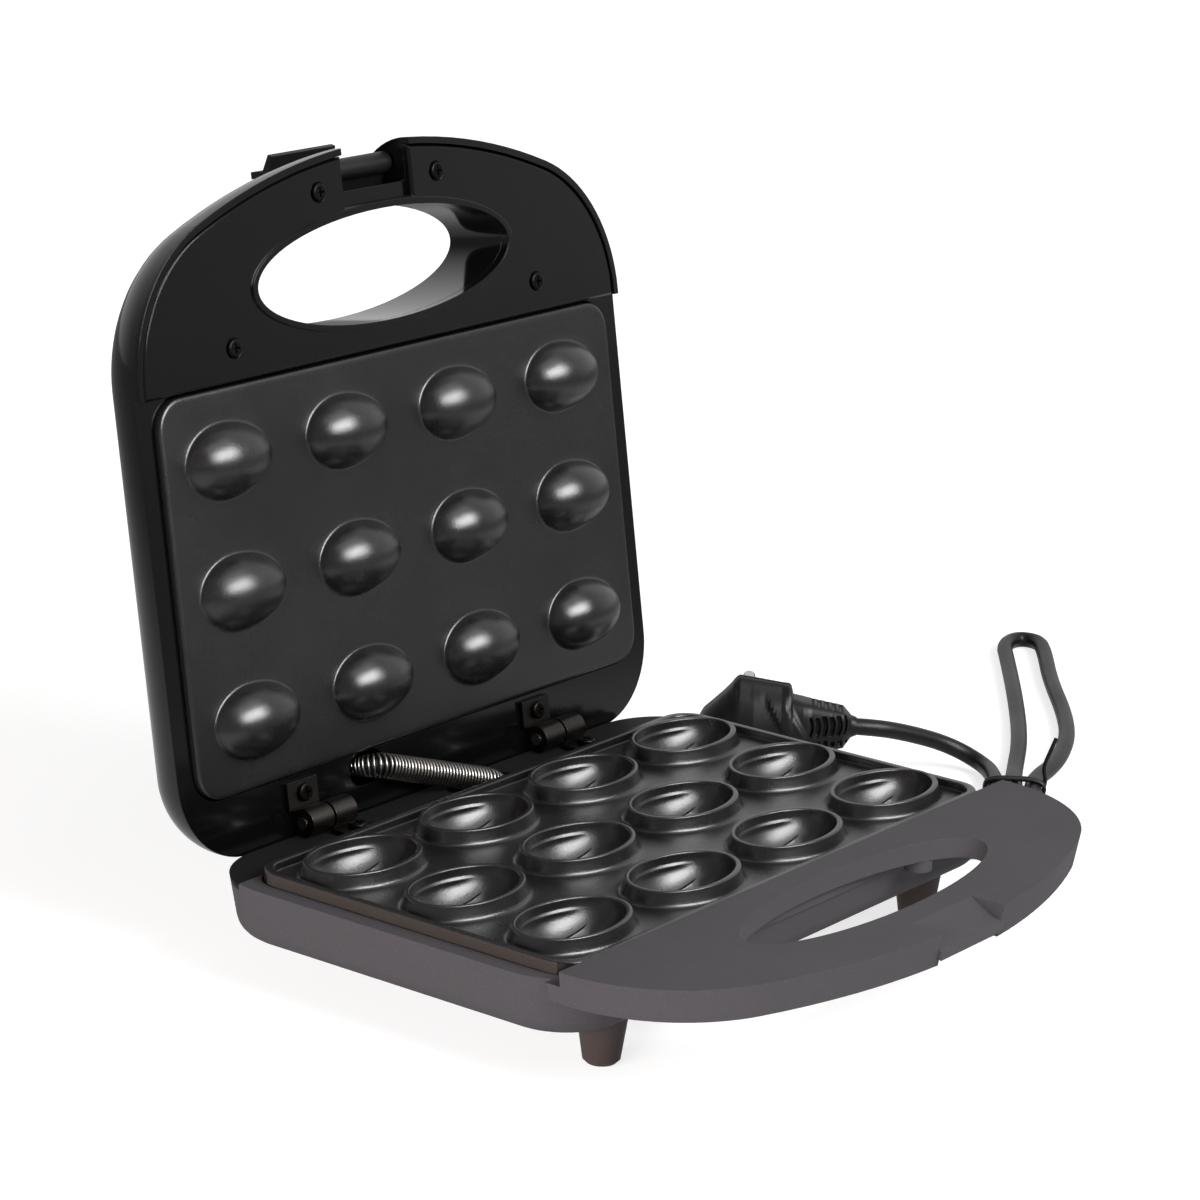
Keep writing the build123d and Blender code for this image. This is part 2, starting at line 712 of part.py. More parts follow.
# Sensors on the back of the lower plate
with BuildPart() as thermostat:
    with BuildSketch(Plane.XY.offset(plate_under)):
        with Locations((0, cup_pitch_y / 2)):
            Circle(8)
    extrude(amount=-6)
    with BuildSketch(Plane.XY.offset(plate_under - 6)):
        with Locations((0, cup_pitch_y / 2)):
            Circle(6.5)
    extrude(amount=-2.5)
keep(thermostat, "thermostat")

with BuildPart() as thermal_fuse:
    with BuildSketch(Plane.YZ.offset(cup_pitch_x / 2 - 7)):
        with Locations((cup_pitch_y / 2, plate_under - 2)):
            Circle(2)
    extrude(amount=14)
    with BuildSketch(Plane.YZ.offset(cup_pitch_x / 2 - 12)):
        with Locations((cup_pitch_y / 2, plate_under - 2)):
            Circle(0.5)
    extrude(amount=24)
keep(thermal_fuse, "thermal_fuse")

with BuildPart() as terminal_block:
    with Locations((0, plate_rear_y + 3.5, foot_height + wall)):
        Box(32, 9, 10, align=(Align.CENTER, Align.CENTER, Align.MIN))
    with BuildSketch(Plane.XY.offset(foot_height + wall + 10)):
        with GridLocations(10, 1, 3, 1):
            with Locations((0, plate_rear_y + 3.5)):
                Circle(1.8)
    extrude(amount=-3, mode=Mode.SUBTRACT)
keep(terminal_block, "terminal_block")

# Hinges: a leaf on each ledge with a knuckle about the shared pin
with BuildPart() as base_hinge_leaves:
    with BuildSketch(Plane.YZ):
        with Locations((hinge_y, hinge_height)):
            Circle(knuckle_radius)
        with Locations((hinge_y - knuckle_radius / 2, tray_height + leaf_thickness / 2)):
            Rectangle(knuckle_radius, leaf_thickness)
        with Locations((hinge_y, hinge_height)):
            Circle(hinge_pin_radius, mode=Mode.SUBTRACT)
    knuckle = extrude(amount=knuckle_length / 2, both=True, mode=Mode.PRIVATE)
    with Locations(*[(x, 0, 0) for x in base_knuckles]):
        add(knuckle)
    with BuildSketch(Plane.XY.offset(tray_height)):
        for x in base_knuckles:
            with Locations((x, hinge_y - (leaf_reach + 4) / 2)):
                Rectangle(leaf_width, leaf_reach - 4)
        with Locations(*[(x, leaf_screw_y) for x in base_knuckles]):
            Circle(screw_radius, mode=Mode.SUBTRACT)
    extrude(amount=leaf_thickness)
keep(base_hinge_leaves, "base_hinge_leaves")

with BuildPart() as lid_hinge_leaves:
    with BuildSketch(Plane.YZ):
        with Locations((hinge_y, hinge_height)):
            Circle(knuckle_radius)
        with Locations((hinge_y - knuckle_radius / 2, lid_rim_height - leaf_thickness / 2)):
            Rectangle(knuckle_radius, leaf_thickness)
        with Locations((hinge_y, hinge_height)):
            Circle(hinge_pin_radius + running_clearance, mode=Mode.SUBTRACT)
    knuckle = extrude(amount=knuckle_length / 2, both=True, mode=Mode.PRIVATE)
    with Locations(*[(x, 0, 0) for x in lid_knuckles]):
        add(knuckle)
    with BuildSketch(Plane.XY.offset(lid_rim_height - leaf_thickness)):
        for x in lid_knuckles:
            with Locations((x, hinge_y - (leaf_reach + 4) / 2)):
                Rectangle(leaf_width, leaf_reach - 4)
        with Locations(*[(x, leaf_screw_y) for x in lid_knuckles]):
            Circle(screw_radius, mode=Mode.SUBTRACT)
    extrude(amount=leaf_thickness)
keep(lid_hinge_leaves, "lid_hinge_leaves", swung=True)

hinge_screw = pan_screw(6)
with BuildPart() as base_hinge_screws:
    with Locations(*[(x, leaf_screw_y, tray_height + leaf_thickness) for x in base_knuckles]):
        add(hinge_screw)
keep(base_hinge_screws, "base_hinge_screws")

with BuildPart() as lid_hinge_screws:
    seat = lid_rim_height - leaf_thickness
    with Locations(*[Location((x, leaf_screw_y, seat), (180, 0, 0)) for x in lid_knuckles]):
        add(hinge_screw)
keep(lid_hinge_screws, "lid_hinge_screws", swung=True)

with BuildPart() as hinge_pins:
    with BuildSketch(Plane.YZ):
        with Locations((hinge_y, hinge_height)):
            Circle(hinge_pin_radius)
    pin = extrude(amount=knuckle_pitch, both=True, mode=Mode.PRIVATE)
    with Locations((-hinge_x, 0, 0), (hinge_x, 0, 0)):
        add(pin)
keep(hinge_pins, "hinge_pins")

# Latch: a bent sheet hook on a barrel, shown swung up over the front
with BuildPart() as latch:
    with BuildSketch(Plane.YZ):
        with BuildLine():
            Polyline(
                (latch_arm_y, latch_pivot_height + latch_sheet),
                (latch_arm_y - latch_sheet, latch_pivot_height),
                (latch_arm_y - latch_sheet, latch_grip_height - latch_sheet),
                (latch_arm_y - 2 * latch_sheet, latch_grip_height - 3 * latch_sheet),
                (latch_arm_y - latch_sheet, latch_grip_height - 3.4 * latch_sheet),
                (latch_arm_y, latch_grip_height - 1.2 * latch_sheet),
                (latch_arm_y + latch_hook, latch_grip_height - 0.8 * latch_sheet),
                (latch_arm_y + latch_hook, latch_grip_height),
                (latch_arm_y, latch_grip_height),
                close=True,
            )
        make_face()
        with Locations((latch_pivot_y - latch_arm_offset / 2, latch_pivot_height)):
            Rectangle(latch_arm_offset, latch_sheet)
        with Locations((latch_pivot_y, latch_pivot_height)):
            Circle(barrel_radius)
            Circle(latch_pin_radius + running_clearance, mode=Mode.SUBTRACT)
    extrude(amount=latch_width / 2, both=True)
keep(latch, "latch", swung=True, flipped=True)

with BuildPart() as latch_pin:
    with BuildSketch(Plane.YZ):
        with Locations((latch_pivot_y, latch_pivot_height)):
            Circle(latch_pin_radius)
    extrude(amount=notch_width / 2 + wall, both=True)
keep(latch_pin, "latch_pin", swung=True)

# Feet: tapered rubber, with a stub through the tray's floor
with BuildPart() as feet:
    for x, y in foot_spots:
        with BuildSketch(Plane.XZ.offset(-y)):
            with BuildLine():
                Polyline(
                    (x, 0),
                    (x + foot_base_radius - 1.2, 0),
                    (x + foot_base_radius, 1.2),
                    (x + foot_top_radius, foot_height),
                    (x + foot_stub_radius, foot_height),
                    (x + foot_stub_radius, foot_height + wall + 1),
                    (x, foot_height + wall + 1),
                    close=True,
                )
            make_face()
        revolve(axis=Axis((x, y, 0), (0, 0, 1)))
keep(feet, "feet")

# Lamps in the lid's top
with BuildPart() as lamp_holders:
    with BuildSketch(Plane.XY.offset(upper_reflector_height + 1)):
        with Locations(*lamp_spots):
            Circle(lamp_radius + 1.2)
    extrude(amount=lid_height - wall - upper_reflector_height - 1)
    with BuildSketch(Plane.XY.offset(upper_reflector_height + 3)):
        with Locations(*lamp_spots):
            Circle(lamp_radius)
    extrude(amount=lid_height, mode=Mode.SUBTRACT)
keep(lamp_holders, "lamp_holders", swung=True)

with BuildPart() as red_lamp_lens:
    with BuildSketch(Plane.XY.offset(upper_reflector_height + 3)):
        with Locations(lamp_spots[0]):
            Circle(lamp_radius)
    extrude(amount=lid_height + 1.2 - upper_reflector_height - 3)
    fillet(red_lamp_lens.faces().sort_by(Axis.Z)[-1].edges(), 1.0)
keep(red_lamp_lens, "red_lamp_lens", swung=True)

with BuildPart() as green_lamp_lens:
    with BuildSketch(Plane.XY.offset(upper_reflector_height + 3)):
        with Locations(lamp_spots[1]):
            Circle(lamp_radius)
    extrude(amount=lid_height + 1.2 - upper_reflector_height - 3)
    fillet(green_lamp_lens.faces().sort_by(Axis.Z)[-1].edges(), 1.0)
keep(green_lamp_lens, "green_lamp_lens", swung=True)

# Cord's sleeve in the rear wall and its clamp inside
with BuildPart() as cord_gland:
    with BuildSketch(gland_seat):
        Circle(gland_radius + 1.8)
    extrude(amount=2)
    with BuildSketch(gland_seat):
        Circle(gland_radius)
    extrude(amount=-2 * wall)
    with BuildSketch(gland_seat.offset(2)):
        Circle(gland_radius)
    extrude(amount=gland_length - 2, taper=2)
    with BuildSketch(gland_seat):
        Circle(cord_radius + 0.1)
    extrude(amount=2 * gland_length, both=True, mode=Mode.SUBTRACT)
keep(cord_gland, "cord_gland")

with BuildPart() as cord_clamp:
    with Locations((gland_x, plate_rear_y + 5, foot_height + wall)):
        Box(14, 6, 11, align=(Align.CENTER, Align.CENTER, Align.MIN))
    with BuildSketch(gland_seat):
        Circle(cord_radius)
    extrude(amount=-gland_length, mode=Mode.SUBTRACT)
keep(cord_clamp, "cord_clamp")

# Wiring conduit: a close-wound spring from the base's ledge to the lid's ledge
conduit_points = [
    (-36.0, hinge_y + 11.8, hinge_height + 7.3),
    (-33.0, hinge_y + 3.3, hinge_height + 9.3),
    (16.0, hinge_y - 7.7, tray_height - 0.1),
    (20.5, hinge_y - 8.2, tray_height - 5.6),
]
conduit_radii = [7.0, 6.0]

with BuildPart() as conduit_spring:
    with BuildLine() as run:
        FilletPolyline(*conduit_points, radius=conduit_radii)
    with BuildSketch(Plane(origin=run.line @ 0, z_dir=run.line % 0)):
        Circle(conduit_radius)
        Circle(conduit_radius - conduit_wall, mode=Mode.SUBTRACT)
    sweep()
keep(conduit_spring, "conduit_spring")

with BuildPart() as lead_wires:
    with BuildLine() as run:
        FilletPolyline(*conduit_points, radius=conduit_radii)
    with BuildSketch(Plane(origin=run.line @ 0, z_dir=run.line % 0)):
        with GridLocations(2.6, 1, 2, 1):
            Circle(lead_radius)
    sweep()
keep(lead_wires, "lead_wires")

# Angled plug standing on its rim; its local x runs along the leaving cord
plug_along = Vector(cos(radians(plug_turn)), sin(radians(plug_turn)), 0)
plug_face = Plane(
    origin=(plug_x, plug_y, plug_radius),
    x_dir=plug_along,
    z_dir=(-sin(radians(plug_turn)), cos(radians(plug_turn)), 0),
)
plug_exit = Plane(origin=plug_face.from_local_coords((plug_reach, -2, 0)), z_dir=plug_along)

with BuildPart() as plug_body:
    with BuildSketch(plug_face):
        Circle(plug_radius)
        with BuildLine():
            Polyline(
                (0, -plug_radius),
                (15, -14.5),
                (plug_reach, -8.5),
                (plug_reach, 8.5),
                (15, 14.5),
                (0, plug_radius),
                close=True,
            )
        make_face()
    extrude(amount=plug_thickness / 2, both=True)
    fillet(plug_body.faces().sort_by(Axis(plug_face.origin, plug_face.z_dir))[0].edges(), 3)
    with BuildSketch(plug_face.offset(plug_thickness / 2)):
        with GridLocations(1, plug_pin_pitch, 1, 2):
            Circle(plug_pin_radius)
    extrude(amount=-6, mode=Mode.SUBTRACT)
    with BuildSketch(plug_face.offset(plug_thickness / 2)):
        with GridLocations(2 * plug_radius - 3, 1, 2, 1):
            Rectangle(3.4, 7)
    extrude(amount=-9, mode=Mode.SUBTRACT)
    with BuildSketch(plug_face.offset(-plug_thickness / 2)):
        with Locations((28, 0)):
            with GridLocations(5, 1, 3, 1):
                Rectangle(2, 40)
    extrude(amount=2, mode=Mode.SUBTRACT)
    with BuildSketch(plug_exit):
        Circle(cord_radius)
    extrude(amount=-9, mode=Mode.SUBTRACT)
keep(plug_body, "plug_body", is_cord=True)

with BuildPart() as plug_pins:
    with BuildSketch(plug_face.offset(plug_thickness / 2 - 6)):
        with GridLocations(1, plug_pin_pitch, 1, 2):
            Circle(plug_pin_radius)
    extrude(amount=plug_pin_length + 6)
keep(plug_pins, "plug_pins", is_cord=True)

with BuildPart() as plug_earth_contacts:
    with BuildSketch(plug_face.offset(plug_thickness / 2 - 9)):
        with GridLocations(2 * plug_radius - 5.6, 1, 2, 1):
            Rectangle(0.8, 5)
    extrude(amount=8.5)
keep(plug_earth_contacts, "plug_earth_contacts", is_cord=True)

# Mains cord, from its clamp through the sleeve, round the bundle and into the plug
cord_points = [
    tuple(gland_seat.from_local_coords((0, 0, -16))),
    tuple(gland_seat.from_local_coords((0, 0, gland_length + 9))),
    (86.0, 125.0, 6.0),
    (107.0, 121.0, cord_radius),
    (128.0, 104.0, cord_radius),
    (137.0, 78.0, cord_radius),
    (135.0, 40.0, cord_radius),
    (132.0, 6.0, cord_radius),
    (134.0, -22.0, cord_radius),
    (145.0, -44.0, cord_radius),
    (168.0, -52.0, cord_radius),
    (190.0, -42.0, cord_radius),
    (200.3, -27.7, 4.7),
    (216.7, -16.3, 4.7),
    (243.0, -10.0, cord_radius),
    (272.0, 2.5, cord_radius),
    (298.0, 20.0, cord_radius),
    (333.0, 48.5, cord_radius),
    (364.0, 70.5, cord_radius),
    (375.0, 80.0, cord_radius),
    (373.0, 89.0, cord_radius),
    (361.0, 88.0, cord_radius),
    (345.0, 76.0, cord_radius),
    (301.0, 44.0, cord_radius),
    (260.0, 16.0, cord_radius),
    (228.0, -2.0, cord_radius),
    (213.7, -10.3, 4.7),
    (197.3, -21.7, 4.7),
    (182.0, -36.0, cord_radius),
    (165.0, -40.0, cord_radius),
    (155.0, -30.0, cord_radius),
    (160.0, -16.0, cord_radius),
    (176.0, -12.0, cord_radius),
    (194.3, -15.7, 4.7),
    (210.7, -4.3, 4.7),
    (225.0, 9.0, cord_radius),
    (221.0, 22.0, 9.0),
    (204.0, 29.5, 16.0),
    tuple(plug_exit.from_local_coords((0, 0, 6))),
    tuple(plug_exit.from_local_coords((0, 0, -8))),
]


def bend_radii(points):
    """A radius for each bend that leaves both neighbouring runs room for their arcs."""
    radii = []
    for before, at, after in zip(points, points[1:], points[2:]):
        run_in = Vector(at) - Vector(before)
        run_out = Vector(after) - Vector(at)
        half_turn = radians(run_in.get_angle(run_out) / 2)
        radii.append(0.45 * min(run_in.length, run_out.length) / tan(half_turn))
    return radii


with BuildPart() as power_cord:
    with BuildLine() as run:
        FilletPolyline(*cord_points, radius=bend_radii(cord_points))
    with BuildSketch(Plane(origin=run.line @ 0, z_dir=run.line % 0)):
        Circle(cord_radius)
    sweep()
keep(power_cord, "power_cord", is_cord=True)
cord_length = sum(edge.length for edge in run.line.edges())

# Wire tie round the three strands of the bundle
tie_seat = Plane(origin=(205.5, -16.0, 4.7), x_dir=(0.57, -0.82, 0), z_dir=(0.82, 0.57, 0))

with BuildPart() as cord_tie:
    span = 2 * (6.7 + cord_radius + tie_wire)
    with BuildSketch(tie_seat):
        SlotOverall(span, 2 * (cord_radius + tie_wire))
        SlotOverall(span - 2 * tie_wire, 2 * cord_radius, mode=Mode.SUBTRACT)
    extrude(amount=tie_wire / 2, both=True)
keep(cord_tie, "cord_tie", is_cord=True)

# The origin goes under the middle of the product, without its cord
sizes = [piece.bounding_box() for piece in pieces.values()]
middle = (min(size.min.Y for size in sizes) + max(size.max.Y for size in sizes)) / 2

os.makedirs("parts", exist_ok=True)
for name, piece in {**pieces, **cord_pieces}.items():
    placed = piece.moved(Location((0, -middle, 0)))
    placed.label = name
    export_step(placed, f"parts/{name}.step")
print("middle", round(middle, 4), "cord length", round(cord_length, 1))
for name, piece in pieces.items():
    print(name, len(piece.solids()), round(piece.volume))
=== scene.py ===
import bmesh
import bpy
import json
import math
import numpy as np
from mathutils import Matrix, Vector


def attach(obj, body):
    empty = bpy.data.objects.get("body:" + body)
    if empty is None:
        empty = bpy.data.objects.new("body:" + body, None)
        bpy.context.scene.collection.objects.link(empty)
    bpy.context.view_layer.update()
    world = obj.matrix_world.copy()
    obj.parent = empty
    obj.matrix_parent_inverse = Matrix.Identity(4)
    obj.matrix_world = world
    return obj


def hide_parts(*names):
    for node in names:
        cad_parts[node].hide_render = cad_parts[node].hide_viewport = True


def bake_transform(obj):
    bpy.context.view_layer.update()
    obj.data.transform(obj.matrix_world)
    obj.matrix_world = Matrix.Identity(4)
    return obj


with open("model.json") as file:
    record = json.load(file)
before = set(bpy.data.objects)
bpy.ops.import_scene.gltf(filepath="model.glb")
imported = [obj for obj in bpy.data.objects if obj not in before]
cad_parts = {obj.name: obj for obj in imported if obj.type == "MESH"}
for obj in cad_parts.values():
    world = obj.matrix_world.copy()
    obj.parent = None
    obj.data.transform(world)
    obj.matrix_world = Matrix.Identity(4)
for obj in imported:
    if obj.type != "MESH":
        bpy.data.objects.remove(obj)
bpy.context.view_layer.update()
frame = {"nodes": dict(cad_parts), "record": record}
nodes = frame["nodes"]
print("stage: frame loaded")

# The drawing's own zero and its hinge. All sizes are in millimetres unless a note says otherwise.
drawing = {"middleY": 10.6534, "hingeY": 78.2, "hingeZ": 39.8, "openAngle": 98.7}


def place(points, swung=False):
    # Drawing millimetres to the frame's metres; a swung point first turns with the opened lid about the hinge
    points = np.asarray(points, float)
    if swung:
        opened = math.radians(drawing["openAngle"])
        y, z = points[..., 1] - drawing["hingeY"], points[..., 2] - drawing["hingeZ"]
        newY = drawing["hingeY"] + y * math.cos(opened) + z * math.sin(opened)
        newZ = drawing["hingeZ"] - y * math.sin(opened) + z * math.cos(opened)
        points = np.stack([points[..., 0], newY, newZ], -1)
    return (points - [0, drawing["middleY"], 0]) / 1000


def sight(x, y, z):
    # One point of the drawing, as a plain tuple in metres
    return tuple(place((x, y, z)))


def outwardFrom(azimuth, elevation):
    # The direction away from the object, angles in radians; azimuth 0 is straight in front of the handle
    level = math.cos(elevation)
    return Vector((math.sin(azimuth) * level, -math.cos(azimuth) * level, math.sin(elevation)))


# Camera, at the photograph's place and angle. Its nearest and farthest distances are in metres.
view = {"azimuth": -52.33, "elevation": 15.96, "roll": 1.6, "lens": 121.105, "sensor": 36,
        "place": (-973.25, -736.22, 463.3), "nearest": 0.05, "farthest": 20}
azimuth, elevation, roll = (math.radians(view[key]) for key in ("azimuth", "elevation", "roll"))
right = Vector((math.cos(azimuth), math.sin(azimuth), 0))
back = outwardFrom(azimuth, elevation)
up = back.cross(right)
rolledRight = math.cos(roll) * right + math.sin(roll) * up
rolledUp = -math.sin(roll) * right + math.cos(roll) * up
cameraData = bpy.data.cameras.new("camera")
cameraData.lens = view["lens"]
cameraData.sensor_width = view["sensor"]
cameraData.clip_start = view["nearest"]
cameraData.clip_end = view["farthest"]
camera = bpy.data.objects.new("camera", cameraData)
bpy.context.collection.objects.link(camera)
cameraTurn = Matrix((rolledRight, rolledUp, back)).transposed()
camera.matrix_world = Matrix.Translation(sight(*view["place"])) @ cameraTurn.to_4x4()
bpy.context.scene.camera = camera
bpy.context.scene.view_settings.view_transform = "Standard"


def tone(hexColor):
    # A colour written as sRGB hex, in the linear values that shaders take
    parts = [int(hexColor[i:i + 2], 16) / 255 for i in (1, 3, 5)]
    return [p / 12.92 if p <= 0.04045 else ((p + 0.055) / 1.055) ** 2.4 for p in parts] + [1]


def addNode(material, kind, links=None, **settings):
    # Adds a shader node, sets its values and wires its inputs
    node = material.node_tree.nodes.new(kind)
    for key, value in settings.items():
        if hasattr(node, key):
            setattr(node, key, value)
        else:
            node.inputs[key.replace("_", " ")].default_value = value
    for key, source in (links or {}).items():
        material.node_tree.links.new(source, node.inputs[key])
    return node


# What all finishes share: where the light specks begin and are full, the uneven gloss, and the relief's depth
surface = {"specksFrom": 0.48, "specksFull": 0.72, "glossScale": 24.0, "glossFrom": 0.3, "glossFull": 0.7,
           "leastRough": 0.03, "depth": 0.2}


def finish(name, color, light, rough, metal=0.0, level=0.5, speckSize=0.4, grain=0.1, grainSize=0.5,
           spread=0.05, edge=0.4):
    # A finish with specks of a lighter tone, uneven gloss, fine relief and rounded edges. Specks and grain
    # are drawn coarser than the real ones, which are too fine to show.
    material = bpy.data.materials.new(name)
    material.use_nodes = True
    links = material.node_tree.links
    shader = material.node_tree.nodes["Principled BSDF"]
    shader.inputs["Metallic"].default_value = metal
    shader.inputs["Specular IOR Level"].default_value = level
    at = addNode(material, "ShaderNodeTexCoord").outputs["Object"]
    fine = addNode(material, "ShaderNodeTexNoise", {"Vector": at}, Scale=1000 / speckSize, Detail=3.0,
                   Roughness=0.6)
    broad = addNode(material, "ShaderNodeTexNoise", {"Vector": at}, Scale=surface["glossScale"], Detail=4.0,
                    Roughness=0.6)
    share = addNode(material, "ShaderNodeMapRange", {"Value": fine.outputs["Fac"]},
                    From_Min=surface["specksFrom"], From_Max=surface["specksFull"])
    mix = addNode(material, "ShaderNodeMix", {"Factor": share.outputs["Result"]}, data_type="RGBA")
    mix.inputs[6].default_value = tone(color)
    mix.inputs[7].default_value = tone(light)
    links.new(mix.outputs[2], shader.inputs["Base Color"])
    gloss = addNode(material, "ShaderNodeMapRange", {"Value": broad.outputs["Fac"]},
                    From_Min=surface["glossFrom"], From_Max=surface["glossFull"],
                    To_Min=max(surface["leastRough"], rough - spread), To_Max=rough + spread)
    links.new(gloss.outputs["Result"], shader.inputs["Roughness"])
    pores = addNode(material, "ShaderNodeTexNoise", {"Vector": at}, Scale=1000 / grainSize, Detail=2.0,
                    Roughness=0.5)
    relief = addNode(material, "ShaderNodeBump", {"Height": pores.outputs["Fac"]}, Strength=grain,
                     Distance=surface["depth"] / 1000)
    if edge:
        rounded = addNode(material, "ShaderNodeBevel", samples=4, Radius=edge / 1000)
        links.new(rounded.outputs["Normal"], relief.inputs["Normal"])
    links.new(relief.outputs["Normal"], shader.inputs["Normal"])
    return material


looks = {
    # Plastic moulded with a fine texture: an even dark grey with hardly any shine
    "housing_base": finish("satinCharcoalPlastic", "#3a383b", "#424043", 0.62, level=0.12, grain=0.22,
                           grainSize=0.45, edge=0.5),
    # Plastic moulded in a polished tool: deep black that mirrors the lamps and the floor
    "housing_lid": finish("polishedBlackPlastic", "#050505", "#070707", 0.12, level=0.45, grain=0.03,
                          grainSize=2.5, spread=0.03, edge=0.5),
    # Non-stick coating sprayed on cast aluminium: grey-black with a broad, grainy sheen
    "nonstick": finish("satinNonStickCoating", "#0d0c0d", "#1c1a1c", 0.27, level=0.8, speckSize=0.5,
                       grain=0.3, grainSize=0.4, edge=0),
    # Steel plated with zinc: a pale mirror, a little blurred
    "steel": finish("zincPlatedSteel", "#a5a29e", "#bdbab5", 0.28, metal=1.0, edge=0.15),
    # Steel stamped and darkened: brown-grey metal with soft highlights
    "hinge_steel": finish("darkStampedSteel", "#3b3836", "#514d4a", 0.36, metal=1.0, edge=0.3),
    # Rolled aluminium sheet: pale grey with a blurred mirror
    "aluminium": finish("rolledAluminium", "#b0b1b4", "#c0c1c4", 0.35, metal=1.0, edge=0.1),
    # Plastic moulded satin: black with a weak, soft sheen
    "black_plastic": finish("satinBlackPlastic", "#0b0b0c", "#111112", 0.42, level=0.3, edge=0.35),
    # Moulded rubber: matt brown-black
    "rubber": finish("mattDarkRubber", "#332c2b", "#3f3735", 0.6, level=0.3, grain=0.3),
    # Extruded sheath: black with one soft line of light along it
    "cord_black": finish("satinBlackSheath", "#0c0c0d", "#121213", 0.4, level=0.3, grain=0.15, grainSize=0.6,
                         edge=0),
    # Nickel plate on brass: bright, with a nearly sharp mirror
    "chrome": finish("nickelPlate", "#c3c3c5", "#cfcfd1", 0.15, metal=1.0, edge=0.2),
    # Moulded lenses: dark red and dark green, each with a sharp glint
    "red_lens": finish("redLens", "#8a0d12", "#9a1218", 0.08, edge=0.2),
    "green_lens": finish("greenLens", "#0d6022", "#11702a", 0.08, edge=0.2),
}
# Blackened steel for the screws: nearly black, with a metal's highlights
darkScrew = finish("blackenedScrewSteel", "#1d1b1a", "#2a2826", 0.38, metal=1.0, edge=0.15)
# The lower plate's outer side, left as cast: brown-black, rough and dull
castEdge = finish("bareCastEdge", "#2c2826", "#3a3532", 0.62, level=0.3, speckSize=0.5, grain=0.8, edge=0)
nodeSlot = {part["node"]: part["material_slot"] for part in frame["record"]["subparts"]}
for name, cadPiece in nodes.items():
    cadPiece.data.materials.clear()
    cadPiece.data.materials.append(darkScrew if name.endswith("_screws") else looks[nodeSlot[name]])

# The base's rear top, under the hinge, is painted black past a line behind the plate: painted shade where the
# lid above darkens it
rearShade = {"from": 63.2, "low": 33.0, "fade": 0.4, "color": "#121213"}


def paintRearShade(material):
    # Blends the colour to black past the line, on what stands higher than the low limit: painted shade
    tree = material.node_tree
    shader = tree.nodes["Principled BSDF"]
    plain = shader.inputs["Base Color"].links[0].from_socket
    at = addNode(material, "ShaderNodeTexCoord").outputs["Object"]
    spot = addNode(material, "ShaderNodeSeparateXYZ", {"Vector": at})
    rear = addNode(material, "ShaderNodeMapRange", {"Value": spot.outputs["Y"]},
                   From_Min=place((0, rearShade["from"], 0))[1],
                   From_Max=place((0, rearShade["from"] + rearShade["fade"], 0))[1])
    top = addNode(material, "ShaderNodeMapRange", {"Value": spot.outputs["Z"]},
                  From_Min=rearShade["low"] / 1000, From_Max=(rearShade["low"] + rearShade["fade"]) / 1000)
    both = addNode(material, "ShaderNodeMath", {0: rear.outputs[0], 1: top.outputs[0]}, operation="MULTIPLY")
    blackened = addNode(material, "ShaderNodeMix", {"Factor": both.outputs[0], 6: plain}, data_type="RGBA")
    blackened.inputs[7].default_value = tone(rearShade["color"])
    tree.links.new(blackened.outputs[2], shader.inputs["Base Color"])


# Painted shade on the base's rear top, under the hinge
paintRearShade(looks["housing_base"])
print("stage: finishes made")


def gridFaces(rows, columns):
    # Quads between neighbouring rows of a grid, whose last column joins its first
    i, j = np.meshgrid(np.arange(rows - 1), np.arange(columns), indexing="ij")
    k = (j + 1) % columns
    quads = [i * columns + j, i * columns + k, (i + 1) * columns + k, (i + 1) * columns + j]
    return np.stack(quads, -1).reshape(-1, 4)


def joined(grids):
    # Several grids of points, as one list of points and one of faces
    points, faces, start = [], [], 0
    for grid in grids:
        points.append(grid.reshape(-1, grid.shape[-1]))
        faces.append(gridFaces(*grid.shape[:2]) + start)
        start += len(points[-1])
    return np.concatenate(points), np.concatenate(faces)


def meshPiece(name, points, faces, finishes, body=None, plan=None, outward=False, sharp=None):
    # A mesh from points in metres. Doubles are merged, so that poles and seams close. Outward recalculates
    # the normals, sharp is the angle past which an edge stays hard, and plan is a flat map of the points.
    mesh = bpy.data.meshes.new(name)
    mesh.from_pydata(points.tolist(), [], faces.tolist())
    if plan is not None:
        corners = np.empty(len(mesh.loops), np.int32)
        mesh.loops.foreach_get("vertex_index", corners)
        mesh.uv_layers.new(name="plan").data.foreach_set("uv", plan[corners].ravel())
    build = bmesh.new()
    build.from_mesh(mesh)
    bmesh.ops.remove_doubles(build, verts=build.verts, dist=0.000002)
    if outward:
        bmesh.ops.recalc_face_normals(build, faces=build.faces)
    build.to_mesh(mesh)
    build.free()
    mesh.shade_smooth()
    if sharp:
        mesh.set_sharp_from_angle(angle=math.radians(sharp))
    for material in finishes:
        mesh.materials.append(material)
    piece = bpy.data.objects.new(name, mesh)
    bpy.context.collection.objects.link(piece)
    if body:
        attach(piece, body)
    return piece


def ramp(past, width):
    # 0 before a line and 1 from a width past it, straight between
    return np.clip(past / width, 0, 1)


def table(pairs, at):
    # The second values of a list of pairs, read between its first values
    known, values = np.array(pairs, float).T
    return np.interp(at, known, values)


# Hot plates: each cup or bump is a grid of rings round its centre, and the border is a profile carried round
plate = {"halfX": 110.5, "halfY": 63.25, "centreY": -0.5, "corner": 10.0, "pitchX": 55.0, "pitchY": 41.4,
         "rim": 42.0, "face": 42.3, "floorSteps": (0.3, 0.65, 1.0), "arcPoints": 9}
cup = {"radius": 13.4, "length": 41.0, "shift": 2.0, "wall": 1.8}
columns = 112
angles = np.linspace(0, 2 * np.pi, columns, endpoint=False)
circle = np.stack([np.cos(angles), np.sin(angles)], -1)


